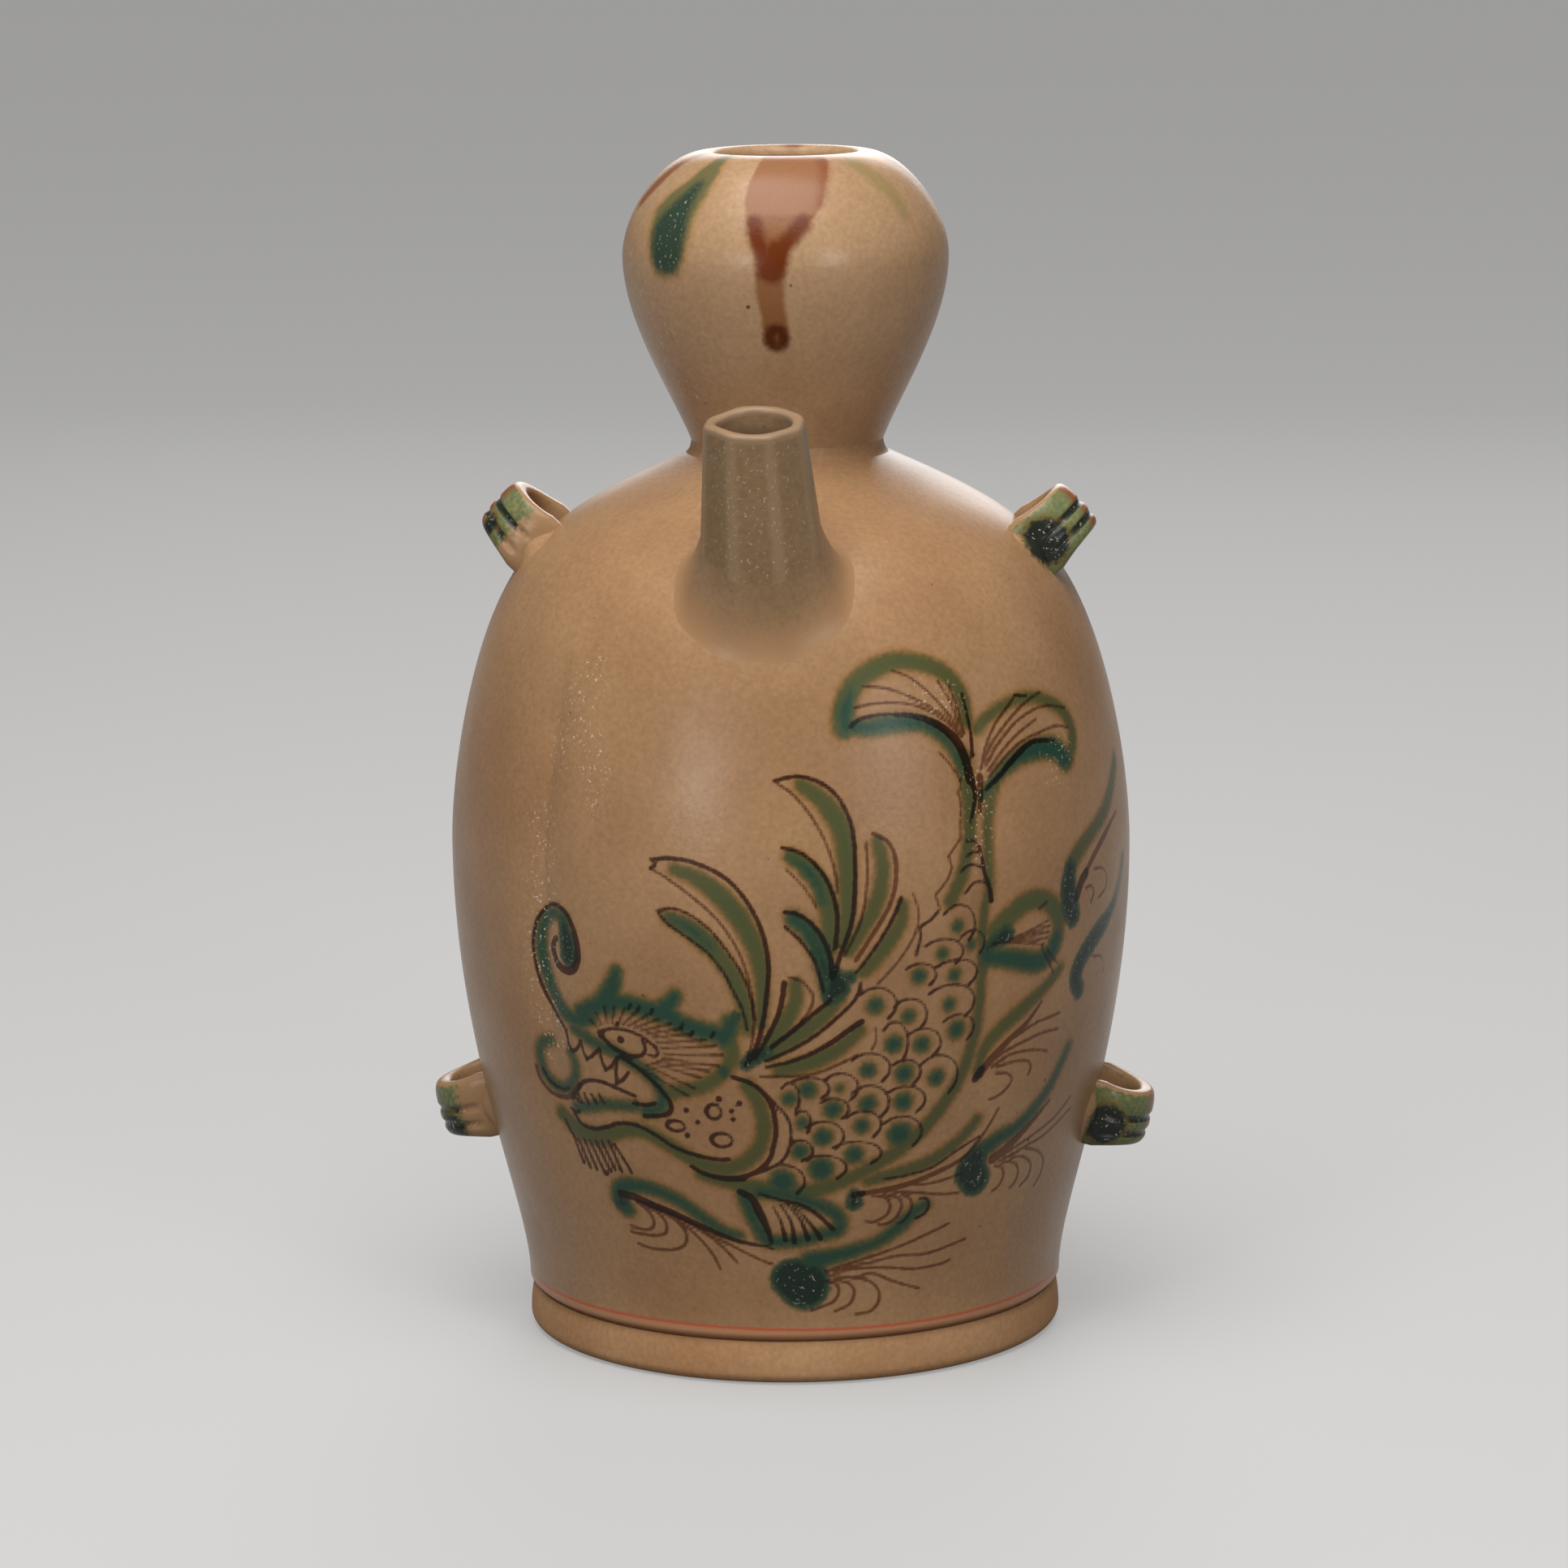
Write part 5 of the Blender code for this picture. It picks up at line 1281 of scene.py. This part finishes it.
def make_collar():
    """The clay worked round the spout's root: its section is a Bezier curve that leaves the tube along
    it, swells at the sides and runs out on the wall, carried round the root."""
    root, axis, normal, across, _, root_up = spout_frame()
    turn = np.linspace(0, 2 * math.pi, SPOUT_COLUMNS, endpoint=False)
    out = across * np.cos(turn)[:, None] + root_up * np.sin(turn)[:, None]
    side = np.abs(np.cos(turn))[:, None] ** COLLAR_SIDES
    foot = spout_wall(turn, 0.0)
    handles = [
        spout_wall(turn, COLLAR_RISE * height / SPOUT_LENGTH) + out * (over + beside * side)
        for height, (over, beside) in zip(COLLAR_HEIGHTS, COLLAR_OUT)
    ]
    swell, edge = (foot + out * (over + beside * side) for over, beside in COLLAR_ON_WALL)
    handles.append(drop(swell, -normal) + normal * (COLLAR_SWELL * side))
    handles.append(drop(edge, -normal, -COLLAR_SINK))
    degree = len(handles) - 1
    share = np.linspace(0, 1, COLLAR_ROWS)
    weights = [math.comb(degree, i) * share**i * (1 - share) ** (degree - i) for i in range(degree + 1)]
    section = np.tensordot(weights, handles, (0, 0))
    under = drop(foot + out * COLLAR_UNDER, -normal, -COLLAR_UNDER)
    grid = np.stack([*section, under])
    fields = {"skirt": np.append(share, 1.0)[:, None] + 0 * turn[None, :]}
    node = "spout_luting_coil"
    return surface(
        "spout_collar", grid, spout_glaze(), [node], loop=True, fields=fields
    )


def lug_frame(z, side):
    """A frame on the wall of one side: the ways round the body, up the meridian and out, and its place.
    The left side is the right side turned half round the axis."""
    normal_r, normal_z = wall_normal(z)
    turn = np.array([side, side, 1.0])
    place = np.array([wall_radius(z), 0, z]) * turn
    ways = [np.array(way) * turn for way in ((0, 1, 0), (-normal_z, 0, normal_r), (normal_r, 0, normal_z))]
    return place, ways


def lug_point(place, ways, x, y, z):
    """Points at distances along the three ways of a lug's frame."""
    return place + sum(np.asarray(part)[..., None] * way for part, way in zip((x, y, z), ways))


# Pools of dark glaze on the lugs' front feet: how far up the strap in degrees, across it and radius, and
# how far the strap's feet stay plain, as a share of its height
LUG_POOLS = {
    ("upper", "right"): (6, -0.1, 4.4, 0.0),
    ("upper", "left"): (52, -0.75, 2.0, 0.55),
    ("lower", "right"): (10, -0.3, 4.0, 0.0),
    ("lower", "left"): (48, -0.8, 3.4, 0.62),
}

# The streaks' field is the same all over, so that only their ragged noise shows
LUG_LAYERS = [
    ("streak", -0.2, 0.35, "8A7F4C", 0.7, 1.6, "MIX"),
    ("crest", 0.86, 0.985, "8A4520", 0.9, 0.25, "MIX"),
    ("groove", 0.1, 0.55, "1B2019", 0.95, 0.4, "MIX"),
    ("plain", 0.2, 0.8, "A07C59", 0.95, 1.5, "MIX"),
    ("pool", -1.6, 0.0, "6B5A2E", 0.7, 1.6, "MIX"),
    ("pool", -0.5, 0.7, "181E1C", 0.96, 2.2, "MIX"),
]


def strap_section(count):
    """Points round the strap's section: an oblong with well rounded corners, between an ellipse and a
    rectangle, evenly spaced."""
    turn = np.linspace(0, 2 * math.pi, LUG_SECTION_STEPS)
    shares = np.stack([np.cos(turn), np.sin(turn)], 1)
    half = np.array([LUG_WIDTH / 2 + LUG_GLAZE, LUG_THICKNESS / 2 + LUG_GLAZE / 2])
    loop = np.sign(shares) * np.abs(shares) ** LUG_SQUARENESS * half
    length = np.linalg.norm(np.diff(loop, axis=0), axis=1).sum()
    return paced(loop, np.linspace(0, length, count, endpoint=False)), half


def lug_pool(level, side_name, place, ways, side, points):
    """How far points lie inside the pool of glaze at a lug's front foot."""
    climb, across, radius, _ = LUG_POOLS[level, side_name]
    climb = math.radians(climb)
    x = -side * LUG_SPAN / 2 * math.cos(climb)
    y = across * LUG_WIDTH / 2
    centre = lug_point(place, ways, x, y, LUG_LEG + (LUG_REACH - LUG_LEG) * math.sin(climb))
    return np.clip(radius - np.linalg.norm(points - centre, axis=-1), -PAINT_REACH, None)


def make_lug(level, side_name, z, side):
    """A ribbed strap: a rounded section carried over half an ellipse, with its ends spread on the wall."""
    place, ways = lug_frame(z, side)
    half_span = (LUG_SPAN - LUG_THICKNESS) / 2
    height = LUG_REACH - LUG_THICKNESS / 2 - LUG_LEG
    bend = np.linspace(0, math.pi, LUG_ROWS)[:, None]
    section, half = strap_section(LUG_COLUMNS)
    across, up = (section / half).T[:, None, :]
    lift = np.sin(bend)
    spread = 1 + LUG_FOOT_SPREAD * (1 - lift) ** 2
    nearest = np.min([np.abs(across - middle) for middle in LUG_GROOVES], axis=0)
    trough = 0.5 + 0.5 * np.cos(math.pi * np.clip(nearest / LUG_GROOVE_HALF, 0, 1))
    groove = trough * (up > 0) * np.clip(lift / LUG_GROOVE_FADE, 0, 1)
    thick = section[:, 1][None, :] - LUG_RIB_DEPTH * groove
    out_x, out_z = height * np.cos(bend), half_span * np.sin(bend)
    norm = np.hypot(out_x, out_z)
    x = half_span * np.cos(bend) + thick * out_x / norm
    h = LUG_LEG + height * np.sin(bend) + thick * out_z / norm
    y = section[:, 0][None, :] * spread
    strap = lug_point(place, ways, x, y + 0 * x, h)
    ends = [drop(strap[i], -ways[2], -LUG_SINK) for i in (0, -1)]
    caps = [np.broadcast_to(end.mean(0), end.shape) for end in ends]
    grid = np.stack([caps[0], ends[0], *strap, ends[1], caps[1]])
    pad = ((2, 2), (0, 0))
    feet = np.clip((LUG_POOLS[level, side_name][-1] - lift) / LUG_FOOT_FADE, 0, 1)
    upper_edge = np.clip((across - LUG_EDGE) / LUG_EDGE_FADE, 0, 1)
    plain = np.maximum(np.maximum(-up, upper_edge), feet)
    pool = lug_pool(level, side_name, place, ways, side, grid)
    fields = {
        "groove": np.pad(groove, pad, mode="edge"),
        "crest": np.pad(lift * (up > 0), pad, mode="edge"),
        "plain": np.pad(plain + 0 * bend, pad, mode="edge"),
        "pool": pool,
        "streak": np.zeros(pool.shape),
    }
    # Pale flecks: painted glints in the pools and grooves, with some scuffs
    fields["worn"] = LUG_POOL_GLINTS * np.clip(pool, 0, 1) + LUG_GROOVE_GLINTS * fields["groove"]
    # Thick runny glaze over ribbed clay: pale green on the ribs, black in the grooves and where it
    # pooled, amber where it thinned on the crest, and bare buff on the edges and underneath
    glaze = fired_surface("runny_green_glaze", "687350", "505D3B", roughness=0.3, layers=LUG_LAYERS)
    name = f"lug_{level}_{side_name}"
    return surface(f"strap_{level}_{side_name}", grid, glaze, [name], fields=fields)


def make_pad(level, side_name, leg, z, side, way):
    """A smear of clay beside a lug's leg: a low dome over an ellipse, on the wall."""
    place, ways = lug_frame(z, side)
    circle = np.linspace(0, 2 * math.pi, PAD_COLUMNS, endpoint=False)[None, :]
    reach = np.linspace(0, 1, PAD_ROWS)[:, None]
    x = way * (LUG_SPAN / 2 + PAD_OFFSET) + PAD_REACH * reach * np.cos(circle)
    y = PAD_HALF_WIDTH * reach * np.sin(circle)
    base = drop(lug_point(place, ways, x, y, 0 * x), -ways[2])
    dome = PAD_HEIGHT * (1 - reach**2) ** 2 - PAD_SINK
    top = base + ways[2] * dome[..., None]
    floor = np.broadcast_to(base[:1, :1] - ways[2] * PAD_DEPTH, top[:1].shape)
    grid = np.concatenate([top, floor])
    pool = lug_pool(level, side_name, place, ways, side, grid)
    # Luting clay smeared by a thumb under the glaze: the body's tan, a little paler where it is thin
    layers = [layer for layer in LUG_LAYERS if layer[0] == "pool"]
    clay = fired_surface("smeared_luting_clay", "A9845F", "9D7855", roughness=0.42, layers=layers)
    node = f"lug_pad_{level}_{side_name}_{leg}"
    name = f"smear_{level}_{side_name}_{leg}"
    return surface(name, grid, clay, [node], fields={"pool": pool})


def make_seam(name, node, outline, material):
    """A bead of clay: a closed outline carried round the axis."""
    angles = np.linspace(0, 2 * math.pi, SEAM_COLUMNS, endpoint=False)
    return surface(name, turned(np.array(outline), angles), material, [node], loop=True)


def make_seams():
    """The clay in the crease under the head, and in the corner inside the foot."""
    # Luting clay wiped smooth, under the same glaze as the body
    clay = fired_surface("glazed_seam_clay", GLAZE_LIGHT, GLAZE_DARK, roughness=0.42)
    low_r = NECK_RADIUS + NECK_SEAM_OUT
    low_z = np.interp(-low_r, -BODY_OUTLINE[:, 0], BODY_OUTLINE[:, 1])
    high_z = HEAD_Z + NECK_SEAM_UP
    high_r = np.interp(high_z, HEAD_OUTLINE[:, 1], HEAD_OUTLINE[:, 0])
    low, high = (low_r, low_z - SEAM_SINK), (high_r - SEAM_SINK, high_z)
    fillet = bezier(low, NECK_SEAM_SHAPE, high, NECK_SEAM_STEPS)
    back = (NECK_RADIUS - NECK_SEAM_DEPTH, NECK_Z)
    make_seam("neck_seam", "neck_luting_seam", [*fillet, back], clay)
    low, high = (FOOT_BORE, BASE_Z - FOOT_SEAM_SIZE), (FOOT_BORE - FOOT_SEAM_SIZE, BASE_Z)
    fillet = bezier(low, FOOT_SEAM_SHAPE, high, FOOT_SEAM_STEPS)
    back = (FOOT_BORE + FOOT_SEAM_DEPTH, BASE_Z + FOOT_SEAM_DEPTH)
    make_seam("foot_seam", "foot_luting_seam", [*fillet, back], clay)


def make_lugs():
    """Two pairs of lugs, each with a pad at its two legs."""
    for level, z in (("upper", UPPER_LUG_Z), ("lower", LOWER_LUG_Z)):
        for side_name, side in (("right", 1), ("left", -1)):
            make_lug(level, side_name, z, side)
            for leg, way in (("rear", side), ("front", -side)):
                make_pad(level, side_name, leg, z, side, way)


def place_camera():
    """The camera at its distance, height and offset from the axis, turned by its azimuth, pitch and
    roll."""
    up = np.array([0, 0, 1.0])
    forward = np.array([-math.sin(CAMERA_AZIMUTH), math.cos(CAMERA_AZIMUTH), 0])
    right = np.array([math.cos(CAMERA_AZIMUTH), math.sin(CAMERA_AZIMUTH), 0])
    view = forward * math.cos(CAMERA_PITCH) - up * math.sin(CAMERA_PITCH)
    lift = forward * math.sin(CAMERA_PITCH) + up * math.cos(CAMERA_PITCH)
    across = right * math.cos(CAMERA_ROLL) + lift * math.sin(CAMERA_ROLL)
    upright = lift * math.cos(CAMERA_ROLL) - right * math.sin(CAMERA_ROLL)
    spot = right * CAMERA_OFFSET - forward * CAMERA_DISTANCE + up * CAMERA_HEIGHT
    data = bpy.data.cameras.new("camera")
    data.sensor_fit = "HORIZONTAL"
    data.sensor_width = SENSOR_WIDTH
    data.lens = FOCAL_LENGTH / IMAGE_WIDTH * SENSOR_WIDTH
    camera = bpy.data.objects.new("camera", data)
    turned_axes = Matrix(np.stack([across, upright, -view], 1)).to_4x4()
    camera.matrix_world = Matrix.Translation(spot * MM) @ turned_axes
    bpy.context.scene.collection.objects.link(camera)
    bpy.context.scene.camera = camera


def make_floor():
    """A wide plain floor: one square. It is pale to the eye and in reflections, and dim to the light that
    would bounce from it to the ewer."""
    mesh = bpy.data.meshes.new("floor")
    signs = ((-1, -1), (1, -1), (1, 1), (-1, 1))
    square = [(FLOOR_REACH * x, FLOOR_REACH * y, 0) for x, y in signs]
    mesh.from_pydata(square, [], [range(len(square))])
    # Matt paper: even and pale, with no sheen
    material = bpy.data.materials.new("matt_paper_floor")
    material.use_nodes = True
    tree = material.node_tree
    shader = tree.nodes["Principled BSDF"]
    shader.inputs["Roughness"].default_value = FLOOR_ROUGHNESS
    seen = add(tree, "LightPath", {}, "Is Camera Ray")
    path = seen.node.outputs
    for ray in ("Is Glossy Ray", "Is Transmission Ray"):
        seen = add(tree, "Math", {"Value": seen, "Value_001": path[ray]}, operation="MAXIMUM")
    tones = {"A": colour(FLOOR_DIM), "B": colour(FLOOR_PALE)}
    tone = add(tree, "Mix", {"Factor": seen, **tones}, data_type="RGBA")
    tree.links.new(tone, shader.inputs["Base Color"])
    glow = add(tree, "Math", {"Value": seen, "Value_001": FLOOR_GLOW}, operation="MULTIPLY")
    shader.inputs["Emission Color"].default_value = colour(FLOOR_GLOW_COLOUR)
    tree.links.new(glow, shader.inputs["Emission Strength"])
    mesh.materials.append(material)
    floor = bpy.data.objects.new("floor", mesh)
    bpy.context.scene.collection.objects.link(floor)


def light_studio():
    """A broad soft lamp above the front, a weak one on each side, a narrow beam on the back, a dim room."""
    world = bpy.data.worlds.new("studio")
    world.use_nodes = True
    room = world.node_tree.nodes["Background"].inputs
    room["Color"].default_value = colour(ROOM_COLOUR)
    room["Strength"].default_value = ROOM_LIGHT
    bpy.context.scene.world = world
    for name, spot, size, power, spread in LAMPS:
        data = bpy.data.lights.new(name, "AREA")
        data.size = size
        data.spread = math.radians(spread)
        data.energy = power
        lamp = bpy.data.objects.new(name, data)
        lamp.location = spot
        aim = Vector(spot) - Vector(LAMP_TARGET)
        lamp.rotation_euler = aim.to_track_quat("Z", "Y").to_euler()
        bpy.context.scene.collection.objects.link(lamp)


def main():
    """The camera, the ewer's pieces, and the studio."""
    place_camera()
    make_body()
    make_foot()
    make_head()
    make_spout()
    make_collar()
    make_lugs()
    make_seams()
    make_floor()
    light_studio()
    bpy.context.scene.view_settings.view_transform = "Standard"


main()
